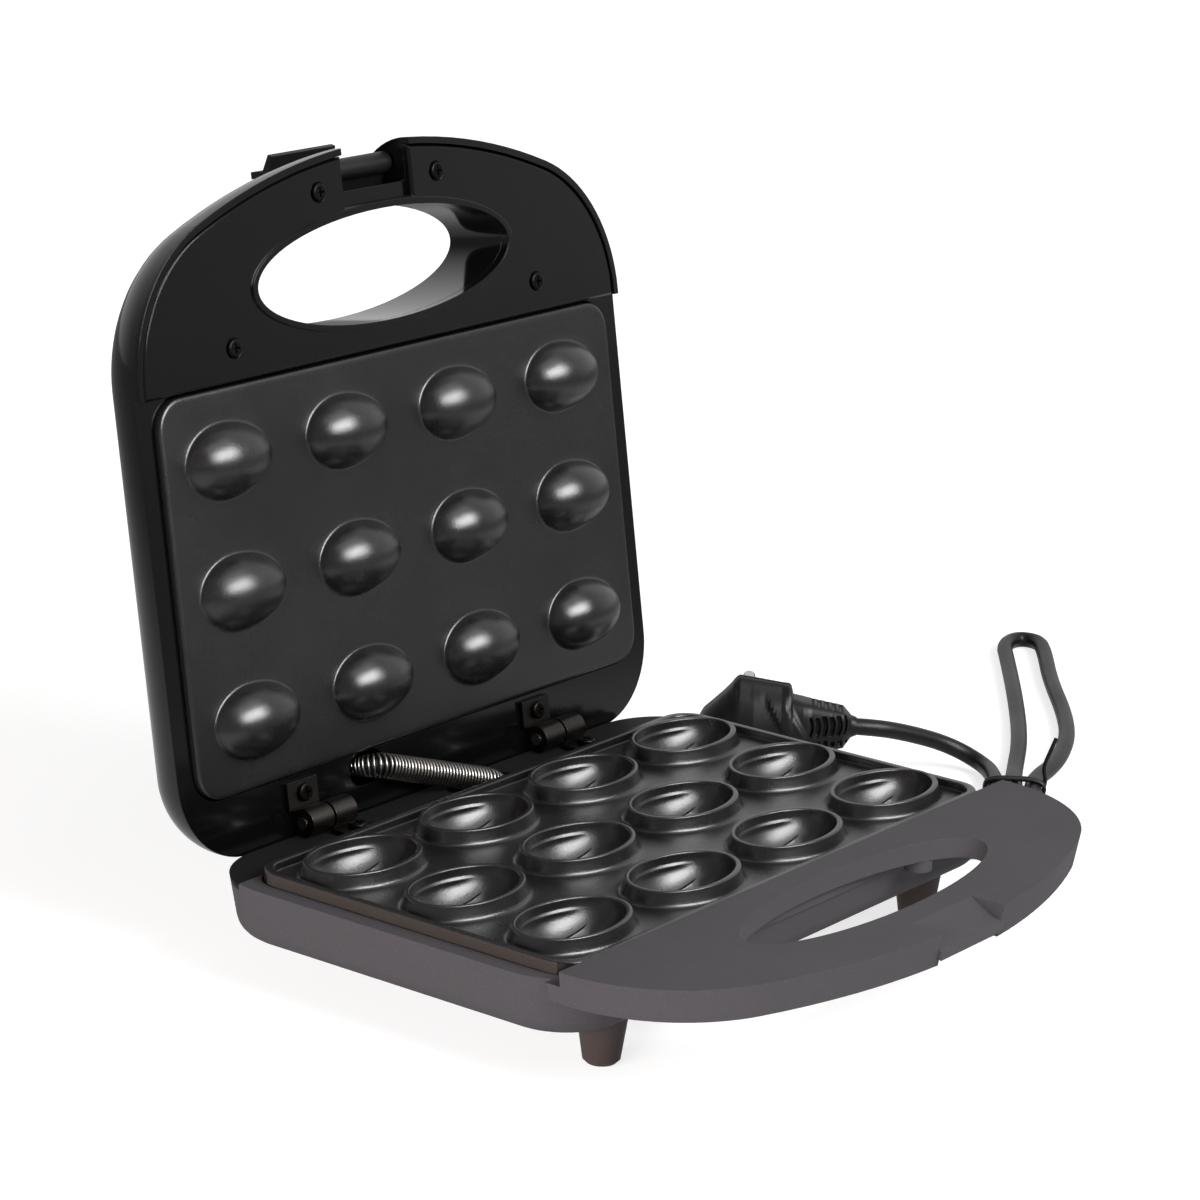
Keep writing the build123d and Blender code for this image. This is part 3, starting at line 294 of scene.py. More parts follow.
def eggRing(scale, radius, length):
    # A level ring of an egg: x = -shift + a cos t, y = r sin t, where a is longer on the pointed side
    half = np.where(np.cos(angles) > 0, length / 2 + cup["shift"], length / 2 - cup["shift"])
    return np.stack([-cup["shift"] + scale * half * np.cos(angles), scale * radius * np.sin(angles)], -1)


def ovalRing(outwards):
    # The ellipse of a cup's outer wall, x = a cos t and y = b sin t, moved outwards along its normal
    halfX, halfY = cup["length"] / 2 + cup["wall"], cup["radius"] + cup["wall"]
    normal = circle * (halfY, halfX)
    return circle * (halfX, halfY) + outwards * normal / np.linalg.norm(normal, axis=-1, keepdims=True)


def outwardRing(ring, outwards):
    # Any ring moved outwards, square to the line between each point's neighbours
    run = np.roll(ring, -1, 0) - np.roll(ring, 1, 0)
    normal = np.stack([run[:, 1], -run[:, 0]], -1)
    return ring + outwards * normal / np.linalg.norm(normal, axis=-1, keepdims=True)


def cellEdge(centre, inset):
    # A circle's points carried out to the cell's rectangle and held inside the plate's rounded outline
    square = circle / np.max(np.abs(circle), axis=-1, keepdims=True)
    edge = square * (plate["pitchX"] / 2, plate["pitchY"] / 2)
    limit = np.array([plate["halfX"], plate["halfY"]]) - inset
    middle = np.array([0, plate["centreY"]])
    held = np.clip(edge + centre - middle, -limit, limit)
    arc = plate["corner"] - inset
    out = np.maximum(np.abs(held) - (limit - arc), 0)
    far = np.linalg.norm(out, axis=-1, keepdims=True)
    pulled = np.sign(held) * (limit - arc + out * arc / np.maximum(far, arc))
    inCorner = (far > arc) & (out.min(-1, keepdims=True) > 0)
    return np.where(inCorner, pulled, held) + middle - centre


def cells(rings, levels, inset):
    # Twelve cells: the same rings at the same levels, and a flat floor from the last ring to each cell's
    # edge. The plan is each point's place from its own cell's centre.
    grids, plans = [], []
    for j in range(3):
        for i in range(4):
            centre = np.array([(i - 1.5) * plate["pitchX"], (j - 1) * plate["pitchY"]])
            edge = cellEdge(centre, inset)
            flat = np.array(list(rings) + [rings[-1] * (1 - k) + edge * k for k in plate["floorSteps"]])
            heights = np.append(levels, np.full(len(plate["floorSteps"]), levels[-1]))
            heights = np.broadcast_to(heights[:, None, None], (len(flat), columns, 1))
            grids.append(np.concatenate([flat + centre, heights], -1))
            plans.append(flat.reshape(-1, 2))
    return grids, np.concatenate(plans)


def border(profile, zero):
    # The profile, as inset and level, carried round the plate's outline: an inset moves sides and arcs alike
    arc = np.linspace(0, np.pi / 2, plate["arcPoints"])
    angle = np.concatenate([arc + k * np.pi / 2 for k in range(4)])
    sides = np.repeat([(1, 1), (-1, 1), (-1, -1), (1, -1)], plate["arcPoints"], axis=0)
    centre = sides * (plate["halfX"] - plate["corner"], plate["halfY"] - plate["corner"])
    centre = centre + (0, plate["centreY"])
    inset, level = np.array(profile).T
    flat = centre + (plate["corner"] - inset)[:, None, None] * np.stack([np.cos(angle), np.sin(angle)], -1)
    return np.concatenate([flat, np.broadcast_to(zero + level[:, None, None], (*flat.shape[:2], 1))], -1)


# Each bowl is part of an egg, given by angles from its bottom, in degrees. On its long sides a small ledge
# sets it inwards below the mouth, between two angles from the pointed end, and creases run across its floor.
bowlAngles = [*np.linspace(0, 62, 13), 64, 67, 70, 72.3, 73.3, 74, 75, 76, 77, 77.7, 79, 81, 84]
ledge = {"inset": 0.33, "top": 77.5, "foot": 73.8, "end": 68.0, "from": 38, "fadeIn": 20, "to": 132,
         "fadeOut": 30}
crease = {"slope": -0.207, "middle": 8.1, "width": 2.4, "height": 0.55, "lip": 0.1, "drop": 0.35,
          "from": -9.0, "to": 14.5, "before": 4, "after": 2, "fade": 3}
# Share of the way from the mouth to the outer wall, and level
lipShape = [(0.0, -0.62), (0.02, -0.36), (0.09, -0.16), (0.22, -0.04), (0.4, 0), (0.6, 0), (0.78, -0.04),
            (0.91, -0.16), (0.98, -0.36), (1.0, -0.62)]
# How far outwards from the outer wall, and level
collarShape = [(0.35, -1.9), (0.66, -3.1), (0.9, -3.9), (1.1, -4.35), (1.4, -4.66), (1.8, -4.86),
               (2.3, -4.96), (2.6, -5.0)]
# Inset from the plate's outline, and level
rimShape = [(4.2, -5.0), (3.5, -4.98), (3.2, -4.86), (3.06, -4.6), (3.0, -4.2), (2.96, -2.9), (2.84, -2.55),
            (2.6, -2.37), (2.3, -2.3), (1.0, -2.3), (0.55, -2.34), (0.25, -2.46), (0.06, -2.7), (0, -3.0),
            (0, -6.5), (0, -10.3), (2, -10.3), (2, -8.0)]
# The bare side's place in the frame, and how steep its faces are
castSide = {"halfX": 110.3, "halfY": 63.1, "centreY": -11.15, "outermost": 0.995, "flattest": 0.3,
            "below": 39.2}


def nutCoating():
    # The coating inside a cup, with the creases of a nut's shell as relief. It reads the cup's plan: the
    # height rises over a width up to a slanted line and drops beyond it, on both sides of the cup's middle.
    material = looks["nonstick"].copy()
    material.name = "nonStickWithNutCreases"
    relief = next(node for node in material.node_tree.nodes if node.type == "BUMP")
    plan = addNode(material, "ShaderNodeUVMap", uv_map="plan")
    split = addNode(material, "ShaderNodeSeparateXYZ", {"Vector": plan.outputs["UV"]})
    away = addNode(material, "ShaderNodeMath", {0: split.outputs["Y"]}, operation="ABSOLUTE")
    line = addNode(material, "ShaderNodeMath", {0: split.outputs["X"]}, operation="MULTIPLY_ADD")
    line.inputs[1].default_value = crease["slope"]
    line.inputs[2].default_value = crease["middle"]
    off = addNode(material, "ShaderNodeMath", {0: away.outputs[0], 1: line.outputs[0]}, operation="SUBTRACT")
    rise = addNode(material, "ShaderNodeMapRange", {"Value": off.outputs[0]},
                   From_Min=-crease["width"], From_Max=-crease["lip"])
    drop = addNode(material, "ShaderNodeMapRange", {"Value": off.outputs[0]},
                   From_Min=crease["drop"], From_Max=-crease["lip"])
    begin = addNode(material, "ShaderNodeMapRange", {"Value": split.outputs["X"]},
                    interpolation_type="SMOOTHSTEP", From_Min=crease["from"] - crease["before"],
                    From_Max=crease["from"] + crease["after"])
    end = addNode(material, "ShaderNodeMapRange", {"Value": split.outputs["X"]},
                  interpolation_type="SMOOTHSTEP", From_Min=crease["to"],
                  From_Max=crease["to"] - crease["fade"])
    height = rise.outputs[0]
    for part in (drop, begin, end):
        kept = addNode(material, "ShaderNodeMath", {0: height, 1: part.outputs[0]}, operation="MULTIPLY")
        height = kept.outputs[0]
    folds = addNode(material, "ShaderNodeBump", {"Height": height}, Strength=1.0,
                    Distance=crease["height"] / 1000)
    material.node_tree.links.new(folds.outputs["Normal"], relief.inputs["Normal"])
    return material


def bowlRings():
    # Rings of the egg at each angle f from the bottom: sin f across and -cos f up, less the ledge's inset
    fromPoint = np.abs(np.degrees(np.arctan2(np.sin(angles), np.cos(angles))))
    reach = ramp(fromPoint - ledge["from"], ledge["fadeIn"]) * ramp(ledge["to"] - fromPoint, ledge["fadeOut"])
    falls = np.radians(bowlAngles)
    sunk = table([(ledge["end"], 0), (ledge["foot"], ledge["inset"]), (ledge["top"], 0)], np.degrees(falls))
    rings = [eggRing(math.sin(fall), cup["radius"], cup["length"]) for fall in falls]
    narrower = [1 - inset * reach[:, None] / cup["radius"] for inset in sunk]
    return [ring * share for ring, share in zip(rings, narrower)], list(-cup["radius"] * np.cos(falls))


def castSideFaces(mesh):
    # 1 for the upright faces at the plate's outline that lie below its coated edge, 0 for the others
    centres, normals = np.empty((2, len(mesh.polygons) * 3), np.float32)
    mesh.polygons.foreach_get("center", centres)
    mesh.polygons.foreach_get("normal", normals)
    x, y, z = centres.reshape(-1, 3).T.astype(float) * 1000
    upright = np.abs(normals[2::3]) < castSide["flattest"]
    outline = np.maximum(np.abs(x) / castSide["halfX"], np.abs(y - castSide["centreY"]) / castSide["halfY"])
    return (upright & (outline > castSide["outermost"]) & (z < castSide["below"])).astype(np.int32)


# Lower plate: egg-shaped bowls, round lips, drafted collars with a fillet at the foot
bowl, bowlLevels = bowlRings()
mouth, crown = eggRing(1.0, cup["radius"], cup["length"]), ovalRing(0)
lip = [mouth * (1 - share) + crown * share for share, level in lipShape]
collar = [ovalRing(outwards) for outwards, level in collarShape]
cupLevels = plate["rim"] + np.array(bowlLevels + [level for out, level in lipShape + collarShape])
cupGrids, cupPlan = cells(bowl + lip + collar, cupLevels, inset=4.0)
rimGrid = border(rimShape, plate["rim"])
points, faces = joined(cupGrids + [rimGrid])
farPlan = np.full((rimGrid.shape[0] * rimGrid.shape[1], 2), 100.0)  # the border lies beyond every crease
lowerPlate = meshPiece("lowerPlate", place(points), faces[:, ::-1], [nutCoating(), castEdge],
                       plan=np.concatenate([cupPlan, farPlan]))
lowerPlate.data.polygons.foreach_set("material_index", castSideFaces(lowerPlate.data))
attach(lowerPlate, "base")
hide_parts("lower_plate")

# Upper plate: egg-shaped bumps on a flat face, with a fine fillet at the foot
nutBump = {"radius": 12.0, "length": 38.2, "sunk": 2.2, "fillet": 0.8, "rings": 17}
# How far outwards from the bump, and level
footShape = [(0.12, -0.45), (0.34, -0.2), (0.7, -0.05), (1.2, 0.0)]
# Inset from the plate's outline, and level
faceShape = [(2.4, 0.0), (1.3, 0.0), (0.8, 0.06), (0.4, 0.22), (0.12, 0.55), (0, 1.0), (0, 4.0), (0, 8.0),
             (2, 8.0), (2, 5.0)]
lastFall = math.acos((nutBump["sunk"] + nutBump["fillet"]) / nutBump["radius"])
bumpFalls = np.linspace(0, lastFall, nutBump["rings"])
bumps = [eggRing(math.sin(fall), nutBump["radius"], nutBump["length"]) for fall in bumpFalls]
bumpFeet = [outwardRing(bumps[-1], outwards) for outwards, level in footShape]
bumpLevels = list(nutBump["sunk"] - nutBump["radius"] * np.cos(bumpFalls))
bumpLevels = plate["face"] + np.array(bumpLevels + [level for outwards, level in footShape])
bumpGrids, _ = cells(bumps + bumpFeet, bumpLevels, inset=2.35)
points, faces = joined(bumpGrids + [border(faceShape, plate["face"])])
upperPlate = meshPiece("upperPlate", place(points, True), faces, [looks["nonstick"]])
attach(upperPlate, "lid")
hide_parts("upper_plate")
print("stage: hot plates shaped")


def roundedLine(spots, corners, count):
    # Straight runs joined by quadratic curves, which begin and end a corner length from each bend, and then
    # points at even steps along them all
    spots = np.array(spots, float)
    t = np.linspace(0, 1, 16)[:, None]
    parts = [spots[:1]]
    for before, bend, after, corner in zip(spots, spots[1:], spots[2:], corners):
        first = bend + corner * (before - bend) / np.linalg.norm(before - bend)
        last = bend + corner * (after - bend) / np.linalg.norm(after - bend)
        parts.append((1 - t) ** 2 * first + 2 * t * (1 - t) * bend + t ** 2 * last)
    line = np.concatenate(parts + [spots[-1:]])
    run = np.concatenate([[0], np.cumsum(np.linalg.norm(np.diff(line, axis=0), axis=-1))])
    steps = np.linspace(0, run[-1], count)
    return np.stack([np.interp(steps, run, line[:, k]) for k in range(3)], -1), run[-1]


def lineFrames(line):
    # Unit directions along a line, and two square to it, from a direction that no line here follows
    along = np.gradient(line, axis=0)
    along /= np.linalg.norm(along, axis=-1, keepdims=True)
    side = np.cross(along, (0.0, 0.35, 1.0))
    side /= np.linalg.norm(side, axis=-1, keepdims=True)
    return along, side, np.cross(along, side)


def roundSection(side, rise, radius, sides=8):
    # A circle's points at each place of a line: the radius times cosine along side and sine along rise
    t = np.linspace(0, 2 * np.pi, sides, endpoint=False)[None, :, None]
    return radius * (np.cos(t) * side[:, None] + np.sin(t) * rise[:, None])


# Wiring conduit: a close-wound spring from the base's ledge into the lid, with wires in it and a dark sleeve
# that paints the shade inside the coil
conduit = {"line": [(-33.5, 90.0, 47.1), (-30.0, 81.5, 49.1), (16.0, 70.5, 34.9), (20.5, 70.0, 29.4)],
           "corners": [4.5, 4.0], "radius": 4.3, "wire": 0.44, "turns": 48, "turnSteps": 20, "tip": 0.62,
           "tipLength": 9.0, "leadSteps": 60, "leadOffsets": (-1.3, 1.3), "lead": 1.1, "sleeve": 3.1}


def coilSurface():
    # The wire's round section, carried along a helix about the line; the first turns are wound narrower
    count = conduit["turns"] * conduit["turnSteps"]
    line, length = roundedLine(conduit["line"], conduit["corners"], count)
    along, side, rise = lineFrames(line)
    wind = np.linspace(0, conduit["turns"] * 2 * np.pi, count)[:, None]
    radial = np.cos(wind) * side + np.sin(wind) * rise
    nearTip = ramp(conduit["tipLength"] - np.linspace(0, length, count), conduit["tipLength"])[:, None]
    narrow = 1 - (1 - conduit["tip"]) * nearTip
    helix = line + narrow * (conduit["radius"] - conduit["wire"]) * radial
    return helix[:, None] + roundSection(radial, along, conduit["wire"])


def leadSurfaces():
    # Two round wires side by side on the conduit's line, and the dark sleeve of painted shade, which ends one
    # step short of them
    line, _ = roundedLine(conduit["line"], conduit["corners"], conduit["leadSteps"])
    _, side, rise = lineFrames(line)
    wires = [(line + offset * side)[:, None] + roundSection(side, rise, conduit["lead"])
             for offset in conduit["leadOffsets"]]
    return wires + [(line[:, None] + roundSection(side, rise, conduit["sleeve"]))[1:-1]]


points, faces = joined([coilSurface()])
conduitCoil = meshPiece("conduitCoil", place(points), faces, [looks["steel"]], outward=True)
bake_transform(conduitCoil)
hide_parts("conduit_spring")
# The wires, and the dark sleeve that paints the shade inside the coil
points, faces = joined(leadSurfaces())
leadWires = meshPiece("leadWires", place(points), faces, [looks["cord_black"]], outward=True)
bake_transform(leadWires)
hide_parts("lead_wires")
print("stage: conduit wound")

# Plug, measured along its length from the middle of its round part: how far up, down and sideways it
# reaches, how square its sections are and how far their sides lean in. Then its grip band, crest and slots.
plugShape = {
    "centre": (163.0, 72.0, 18.5), "turn": -54.5, "radius": 18.5, "roundAngle": 40, "roundSteps": 16,
    "from": -13.9, "end": 39.5, "step": 0.22, "sides": 80, "underRound": 4.8, "sink": [(15, 0), (38, 2.0)],
    "up": [(-18.5, 0), (-17.6, 3.4), (-16, 6.4), (-12, 10.2), (-8.7, 13.4), (-6.2, 16.2), (-5.2, 17.8),
           (-4.2, 19.0), (-3.2, 19.5), (14.6, 16.9), (15.4, 16.0), (16.2, 12.4), (20.5, 10.9), (34.2, 7.2),
           (37.4, 3.9), (39.5, 3.3)],
    "down": [(4.8, 17.9), (14, 14.3), (21.5, 10.2), (23, 9.2), (34.6, 7.2), (37.4, 3.9), (39.5, 3.3)],
    "sideways": [(-18.5, 7.5), (-16.5, 10.6), (-8, 12.0), (2, 12.2), (14, 10.4), (21.5, 8.8), (23, 8.2),
                 (34.6, 7.0), (37.4, 3.9), (39.5, 3.3)],
    "square": [(3, 5.0), (24, 5.0), (34.6, 4.6), (39.4, 2.0)],
    "lean": [(-18.5, 0.6), (12, 0.55), (20, 0.2), (36, 0.1)], "leanPower": 1.5, "least": 0.01,
}
gripBand = {"height": 1.5, "slant": 0.585, "from": 13.4, "to": 21.4, "tallest": 13.0, "edge": 0.9,
            "fade": 1.0}
plugCrest = {"inset": 0.9, "above": 14.6, "edge": 0.4, "from": -6, "fade": 1.5}
plugSlots = {"count": 5, "from": 23.0, "pitch": 2.6, "depth": 1.5, "endDepth": 0.9, "row": 2.4,
             "rowHalf": 3.4, "bend": 0.08, "bendHalf": 3.6, "lowRow": 4.3, "lowHalf": 1.1, "edge": 0.4,
             "lift": 0.15, "sharpness": 2.5, "sideShare": 0.6, "fullShare": 0.9, "endWidth": 0.75,
             "endEdge": 0.15, "endFrom": 5}


def plugSurface():
    # Superellipse sections |x|^n + |y|^n = 1 scaled by the reaches. The band stands out between two slanted
    # lines, the crest sets the top inwards, and a cosine along the sleeve cuts the slots.
    rounding = np.cos(np.linspace(0, math.radians(plugShape["roundAngle"]), plugShape["roundSteps"]))
    run = np.append(-plugShape["radius"] * rounding,
                    np.arange(plugShape["from"], plugShape["end"], plugShape["step"]))
    roundDown = np.sqrt(np.maximum(plugShape["radius"] ** 2 - run ** 2, 0))
    down = np.where(run < plugShape["underRound"], roundDown, table(plugShape["down"], run))
    tables = [plugShape[key] for key in ("up", "sideways", "square", "lean")]
    up, sideways, power, lean = (table(pairs, run)[:, None] for pairs in tables)
    t = np.linspace(0, 2 * np.pi, plugShape["sides"], endpoint=False)
    corner = (np.abs(np.cos(t)) ** power + np.abs(np.sin(t)) ** power) ** (1 / power)
    tallest = np.maximum(np.where(np.cos(t) > 0, up, down[:, None]), plugShape["least"])
    high = tallest * np.cos(t) / corner
    wide = sideways * np.sin(t) / corner * (1 - lean * (np.abs(high) / tallest) ** plugShape["leanPower"])
    flank = np.abs(np.sin(t) / corner) - plugSlots["sideShare"]
    flank = ramp(flank, plugSlots["fullShare"] - plugSlots["sideShare"])

    slanted = run[:, None] + gripBand["slant"] * high
    band = ramp(slanted - gripBand["from"], gripBand["edge"])
    band = band * ramp(gripBand["to"] - slanted, gripBand["edge"])
    band = band * ramp(gripBand["tallest"] - np.abs(high), gripBand["fade"])
    crest = ramp(high - plugCrest["above"], plugCrest["edge"])
    crest = crest * ramp(run - plugCrest["from"], plugCrest["fade"])[:, None]

    fromRow = high - plugSlots["row"]
    bent = plugSlots["bend"] * fromRow ** 2 * (np.abs(fromRow) < plugSlots["bendHalf"])
    along = run[:, None] - plugSlots["from"] + bent
    inSlots = (along > 0) & (along < plugSlots["count"] * plugSlots["pitch"])
    wave = np.cos(2 * np.pi * along / plugSlots["pitch"])
    comb = np.clip((wave + plugSlots["lift"]) * plugSlots["sharpness"], 0, 1) * inSlots
    inRows = ramp(plugSlots["rowHalf"] - np.abs(fromRow), plugSlots["edge"])
    inRows = inRows + ramp(plugSlots["lowHalf"] - np.abs(high + plugSlots["lowRow"]), plugSlots["edge"])
    inEnds = ramp(plugSlots["endWidth"] - np.abs(np.tan(t)), plugSlots["endEdge"])
    inEnds = inEnds * (np.abs(high) > plugSlots["endFrom"])

    wide = wide + np.sign(np.sin(t)) * (gripBand["height"] * band * flank - plugCrest["inset"] * crest
                                        - plugSlots["depth"] * comb * flank * inRows)
    high = high - np.sign(np.cos(t)) * plugSlots["endDepth"] * comb * inEnds
    high = high + table(plugShape["sink"], run)[:, None]
    turn = math.radians(plugShape["turn"])
    lengthwise = np.array([math.cos(turn), math.sin(turn), 0])
    across = np.array([-math.sin(turn), math.cos(turn), 0])
    grid = run[:, None, None] * lengthwise + wide[..., None] * across + high[..., None] * np.array([0, 0, 1])
    grid = grid + plugShape["centre"]
    ends = [grid[row].mean(1, keepdims=True).repeat(len(t), 1) for row in (slice(None, 1), slice(-1, None))]
    return np.concatenate([ends[0], grid, ends[1]])


points, faces = joined([plugSurface()])
plugPiece = meshPiece("plugShell", place(points), faces, [looks["black_plastic"]], "base", outward=True,
                      sharp=40)
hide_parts("plug_body")

# Wire tie: two loops round the three strands and an end that stands up
tie = {"centre": (205.5, -16.0, 4.7), "across": (0.571, -0.821, 0), "along": (0.821, 0.571, 0),
       "halfSpan": 10.6, "halfHeight": 3.9, "squareSpan": 0.55, "squareHeight": 0.7, "wire": 0.75,
       "pitch": 1.8, "loops": 2, "loopSteps": 140, "tailSteps": 30,
       "tail": [(0, 0, 0), (0.3, -0.4, 3), (-0.8, 0.2, 8), (1.6, -3.0, 19)], "tailCorners": [1.4, 2.5]}


def tieSurfaces():
    # A flattened helix across the strands, with powers of sine and cosine that make it squarer, and its tail
    t = np.linspace(0, tie["loops"] * 2 * np.pi, tie["loopSteps"])[:, None]
    span = tie["halfSpan"] * np.sign(np.cos(t)) * np.abs(np.cos(t)) ** tie["squareSpan"]
    height = tie["halfHeight"] * np.sign(np.sin(t)) * np.abs(np.sin(t)) ** tie["squareHeight"]
    loop = span * np.array(tie["across"]) + height * np.array([0, 0, 1])
    loop = loop + tie["pitch"] * (t / (2 * np.pi) - 1) * np.array(tie["along"]) + tie["centre"]
    tail, _ = roundedLine(loop[-1] + tie["tail"], tie["tailCorners"], tie["tailSteps"])
    return [line[:, None] + roundSection(*lineFrames(line)[1:], tie["wire"]) for line in (loop, tail)]


points, faces = joined(tieSurfaces())
wireTie = meshPiece("wireTie", place(points), faces, [looks["cord_black"]], "base", outward=True)
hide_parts("cord_tie")

# Sleeve where the cord leaves the base, with grooves that let it bend, measured along the cord from its seat
sleeve = {"seat": (72.0, 78.88, 23.0), "tilt": 10.0, "length": 26.0, "root": 5.2, "tip": 4.3, "bore": 3.15,
          "inside": -4.2, "flange": [(0.0, 6.8), (0.2, 7.0), (1.6, 7.0), (2.0, 6.6), (2.1, 5.6)],
          "bodyFrom": 2.2, "grooves": 6, "grooveFrom": 4, "pitch": 3.4, "grooveWidth": 1.2,
          "grooveDepth": 0.9, "tipRound": 0.8, "tipInset": 0.6, "step": 0.17, "overrun": 0.01, "sides": 40}


def sleeveSurface():
    # The profile, as distance and radius, turned about the cord's slanted line. The steps overrun the length
    # by a hair, so that the very end is among them.
    reach = np.arange(sleeve["bodyFrom"], sleeve["length"] + sleeve["overrun"], sleeve["step"])
    taper = [(sleeve["bodyFrom"], sleeve["root"]), (sleeve["length"] - sleeve["tipRound"], sleeve["tip"]),
             (sleeve["length"], sleeve["tip"] - sleeve["tipInset"])]
    body = table(taper, reach)
    past = reach - sleeve["grooveFrom"]
    grooved = (past > 0) & (past < sleeve["grooves"] * sleeve["pitch"])
    cut = grooved & (np.mod(past, sleeve["pitch"]) < sleeve["grooveWidth"])
    outer = np.stack([reach, body - sleeve["grooveDepth"] * cut], -1)
    root = [(sleeve["inside"], sleeve["bore"]), (sleeve["inside"], sleeve["root"]), (0.0, sleeve["root"])]
    bore = [(sleeve["length"], sleeve["bore"]), (sleeve["inside"], sleeve["bore"])]
    profile = np.concatenate([root, sleeve["flange"], outer, bore])
    tilt = math.radians(sleeve["tilt"])
    axis = np.array([0, math.cos(tilt), -math.sin(tilt)])
    side, rise = np.array([[1.0, 0, 0]]), np.array([[0, math.sin(tilt), math.cos(tilt)]])
    section = roundSection(side, rise, profile[:, 1:, None], sleeve["sides"])
    return sleeve["seat"] + profile[:, :1, None] * axis + section


points, faces = joined([sleeveSurface()])
cordSleeve = meshPiece("cordSleeve", place(points), faces, [looks["rubber"]], "base", outward=True, sharp=35)
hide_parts("cord_gland")
print("stage: plug, tie and sleeve shaped")

# Mains cord: the same route as the solids', as the control points of one smooth line
routePoints = [
    (72.0, 63.123, 25.778),
    (72.0, 113.347, 16.922),
    (86.0, 125.0, 6.0),
    (107.0, 121.0, 3.1),
    (128.0, 104.0, 3.1),
    (137.0, 78.0, 3.1),
    (135.0, 40.0, 3.1),
    (132.0, 6.0, 3.1),
    (134.0, -22.0, 3.1),
    (145.0, -44.0, 3.1),
    (168.0, -52.0, 3.1),
    (190.0, -42.0, 3.1),
    (200.3, -27.7, 4.7),
    (216.7, -16.3, 4.7),
    (243.0, -10.0, 3.1),
    (272.0, 2.5, 3.1),
    (298.0, 20.0, 3.1),
    (333.0, 48.5, 3.1),
    (364.0, 70.5, 3.1),
    (375.0, 80.0, 3.1),
    (373.0, 89.0, 3.1),
    (361.0, 88.0, 3.1),
    (345.0, 76.0, 3.1),
    (301.0, 44.0, 3.1),
    (260.0, 16.0, 3.1),
    (228.0, -2.0, 3.1),
    (213.7, -10.3, 4.7),
    (197.3, -21.7, 4.7),
    (182.0, -36.0, 3.1),
    (165.0, -40.0, 3.1),
    (155.0, -30.0, 3.1),
    (160.0, -16.0, 3.1),
    (176.0, -12.0, 3.1),
    (194.3, -15.7, 4.7),
    (210.7, -4.3, 4.7),
    (225.0, 9.0, 3.1),
    (221.0, 22.0, 9.0),
    (204.0, 29.5, 16.0),
    (188.55, 36.18, 20.5),
    (180.42, 47.58, 20.5),
]
cordCurve = bpy.data.curves.new("mainsCord", "CURVE")
cordCurve.dimensions = "3D"
route = cordCurve.splines.new("NURBS")
route.points.add(len(routePoints) - 1)
for point, spot in zip(route.points, routePoints):
    point.co = (*sight(*spot), 1)
route.order_u = 3
route.use_endpoint_u = True
route.resolution_u = 16
cordCurve.bevel_depth = 0.0031  # half the cord's diameter, in metres
cordCurve.bevel_resolution = 6
cord = bpy.data.objects.new("mainsCord", cordCurve)
bpy.context.collection.objects.link(cord)
cord.data.materials.append(looks["cord_black"])
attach(cord, "base")
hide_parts("power_cord")
print("stage: cord laid")

# Studio: a white background, a dim room in front of the object, and a floor that grows whiter away from it.
# Distances are in metres, and a strength of 1 is white.
studio = {"front": 0.2, "behind": 0.75, "diffuse": 0.12, "backwards": (0.79, 0.61, 0), "turnFrom": -0.1,
          "turnTo": 0.7, "floorHalf": 6, "floorBelow": 0.0002, "floorColor": 0.82, "floorTone": 0.42,
          "floorGlow": 0.76, "glowFrom": 0.4, "glowFull": 1.0, "nearTable": 0.6, "farTable": 0.2,
          "tableFrom": 0.25, "tableTo": 0.75, "aim": (0, 0.04, 0.11)}
lamps = {
    "keySoftBox": {"azimuth": 6, "elevation": 34, "distance": 1.15, "width": 0.95, "height": 0.56,
                   "power": 22},
    "topSoftBox": {"azimuth": 6, "elevation": 64, "distance": 1.25, "width": 1.2, "height": 0.6,
                   "power": 2.8},
    "leftSoftBox": {"azimuth": -86, "elevation": 6, "distance": 1.4, "width": 1.2, "height": 0.6, "power": 40,
                    "mirrored": False, "color": (1, 0.93, 0.9)},
}


def seenShare(owner):
    # 1 for rays from the camera, from a glossy surface or through glass, and 1 for rays from the camera alone
    path = addNode(owner, "ShaderNodeLightPath")
    total = path.outputs["Is Camera Ray"]
    for kind in ("Is Glossy Ray", "Is Transmission Ray"):
        total = addNode(owner, "ShaderNodeMath", {0: total, 1: path.outputs[kind]}, operation="ADD",
                        use_clamp=True).outputs[0]
    return total, path.outputs["Is Camera Ray"]


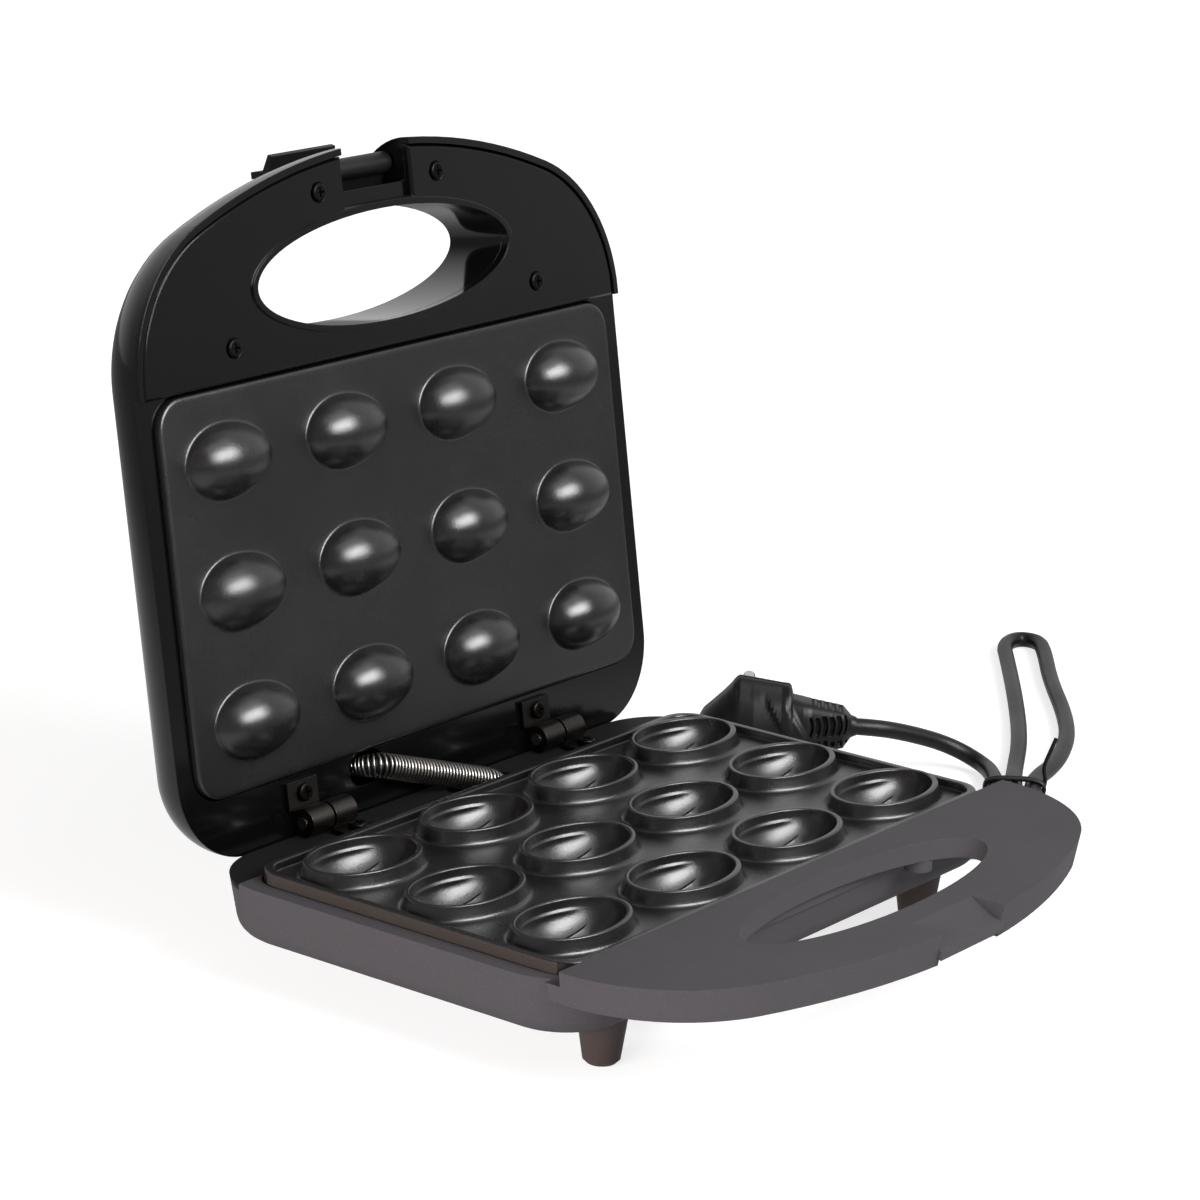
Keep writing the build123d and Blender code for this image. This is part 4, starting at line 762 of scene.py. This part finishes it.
def paleFloor():
    # The floor lights the object as pale paint. The camera sees matt grey with a glow, and glossy surfaces
    # see a table that darkens away from the object.
    material = bpy.data.materials.new("paleFloor")
    material.use_nodes = True
    paint = material.node_tree.nodes["Principled BSDF"]
    paint.inputs["Base Color"].default_value = (studio["floorColor"],) * 3 + (1,)
    paint.inputs["Roughness"].default_value = 0.9
    paint.inputs["Specular IOR Level"].default_value = 0.0
    seen, fromCamera = seenShare(material)
    at = addNode(material, "ShaderNodeTexCoord").outputs["Object"]
    apart = addNode(material, "ShaderNodeVectorMath", {0: at}, operation="LENGTH")
    tableLevel = addNode(material, "ShaderNodeMapRange", {"Value": apart.outputs["Value"]},
                         interpolation_type="SMOOTHSTEP", From_Min=studio["tableFrom"],
                         From_Max=studio["tableTo"], To_Min=studio["nearTable"], To_Max=studio["farTable"])
    glowLevel = addNode(material, "ShaderNodeMapRange", {"Value": apart.outputs["Value"]},
                        interpolation_type="SMOOTHSTEP", From_Min=studio["glowFrom"],
                        From_Max=studio["glowFull"], To_Min=studio["floorGlow"], To_Max=1.0)
    matt = addNode(material, "ShaderNodeBsdfDiffuse", Color=(studio["floorTone"],) * 3 + (1,))
    glow = addNode(material, "ShaderNodeEmission", {"Strength": glowLevel.outputs[0]})
    glowing = addNode(material, "ShaderNodeAddShader", {0: matt.outputs[0], 1: glow.outputs[0]})
    mirrored = addNode(material, "ShaderNodeEmission", {"Strength": tableLevel.outputs[0]})
    shown = addNode(material, "ShaderNodeMixShader",
                    {0: fromCamera, 1: mirrored.outputs[0], 2: glowing.outputs[0]})
    whole = addNode(material, "ShaderNodeMixShader", {0: seen, 1: paint.outputs[0], 2: shown.outputs[0]})
    output = material.node_tree.nodes["Material Output"]
    material.node_tree.links.new(whole.outputs[0], output.inputs["Surface"])
    return material


def studioWorld():
    # The camera sees white, glossy surfaces see a room that is dim in front and bright behind, and the light
    # that falls on the object is dim
    world = bpy.data.worlds.new("studio")
    world.use_nodes = True
    seen, fromCamera = seenShare(world)
    direction = addNode(world, "ShaderNodeTexCoord").outputs["Generated"]
    facing = addNode(world, "ShaderNodeVectorMath", {0: direction}, operation="DOT_PRODUCT")
    facing.inputs[1].default_value = studio["backwards"]
    room = addNode(world, "ShaderNodeMapRange", {"Value": facing.outputs["Value"]},
                   interpolation_type="SMOOTHSTEP", From_Min=studio["turnFrom"], From_Max=studio["turnTo"],
                   To_Min=studio["front"], To_Max=studio["behind"])
    level = addNode(world, "ShaderNodeMix", {"Factor": seen, "B": room.outputs[0]}, A=studio["diffuse"])
    level = addNode(world, "ShaderNodeMix", {"Factor": fromCamera, "A": level.outputs[0]}, B=1.0)
    background = world.node_tree.nodes["Background"]
    background.inputs["Color"].default_value = (1, 1, 1, 1)
    world.node_tree.links.new(level.outputs[0], background.inputs["Strength"])
    return world


def softBox(name, azimuth, elevation, distance, width, height, power, mirrored=True, color=(1, 1, 1)):
    # A rectangular lamp that faces the object; one that isn't mirrored adds no highlight of its own
    outwards = outwardFrom(math.radians(azimuth), math.radians(elevation))
    data = bpy.data.lights.new(name, "AREA")
    data.shape = "RECTANGLE"
    data.size = width
    data.size_y = height
    data.energy = power
    data.color = color
    lamp = bpy.data.objects.new(name, data)
    bpy.context.collection.objects.link(lamp)
    lamp.location = Vector(studio["aim"]) + outwards * distance
    lamp.visible_glossy = mirrored
    lamp.rotation_mode = "QUATERNION"
    lamp.rotation_quaternion = (-outwards).to_track_quat("-Z", "Y")


half = studio["floorHalf"]
floorMesh = bpy.data.meshes.new("floor")
floorCorners = [(-half, -half, 0), (half, -half, 0), (half, half, 0), (-half, half, 0)]
floorMesh.from_pydata(floorCorners, [], [(0, 1, 2, 3)])
floorMesh.materials.append(paleFloor())
floor = bpy.data.objects.new("floor", floorMesh)
bpy.context.collection.objects.link(floor)
floor.location.z = -studio["floorBelow"]
bpy.context.scene.world = studioWorld()
for name, lamp in lamps.items():
    softBox(name, **lamp)
print("stage: studio set")
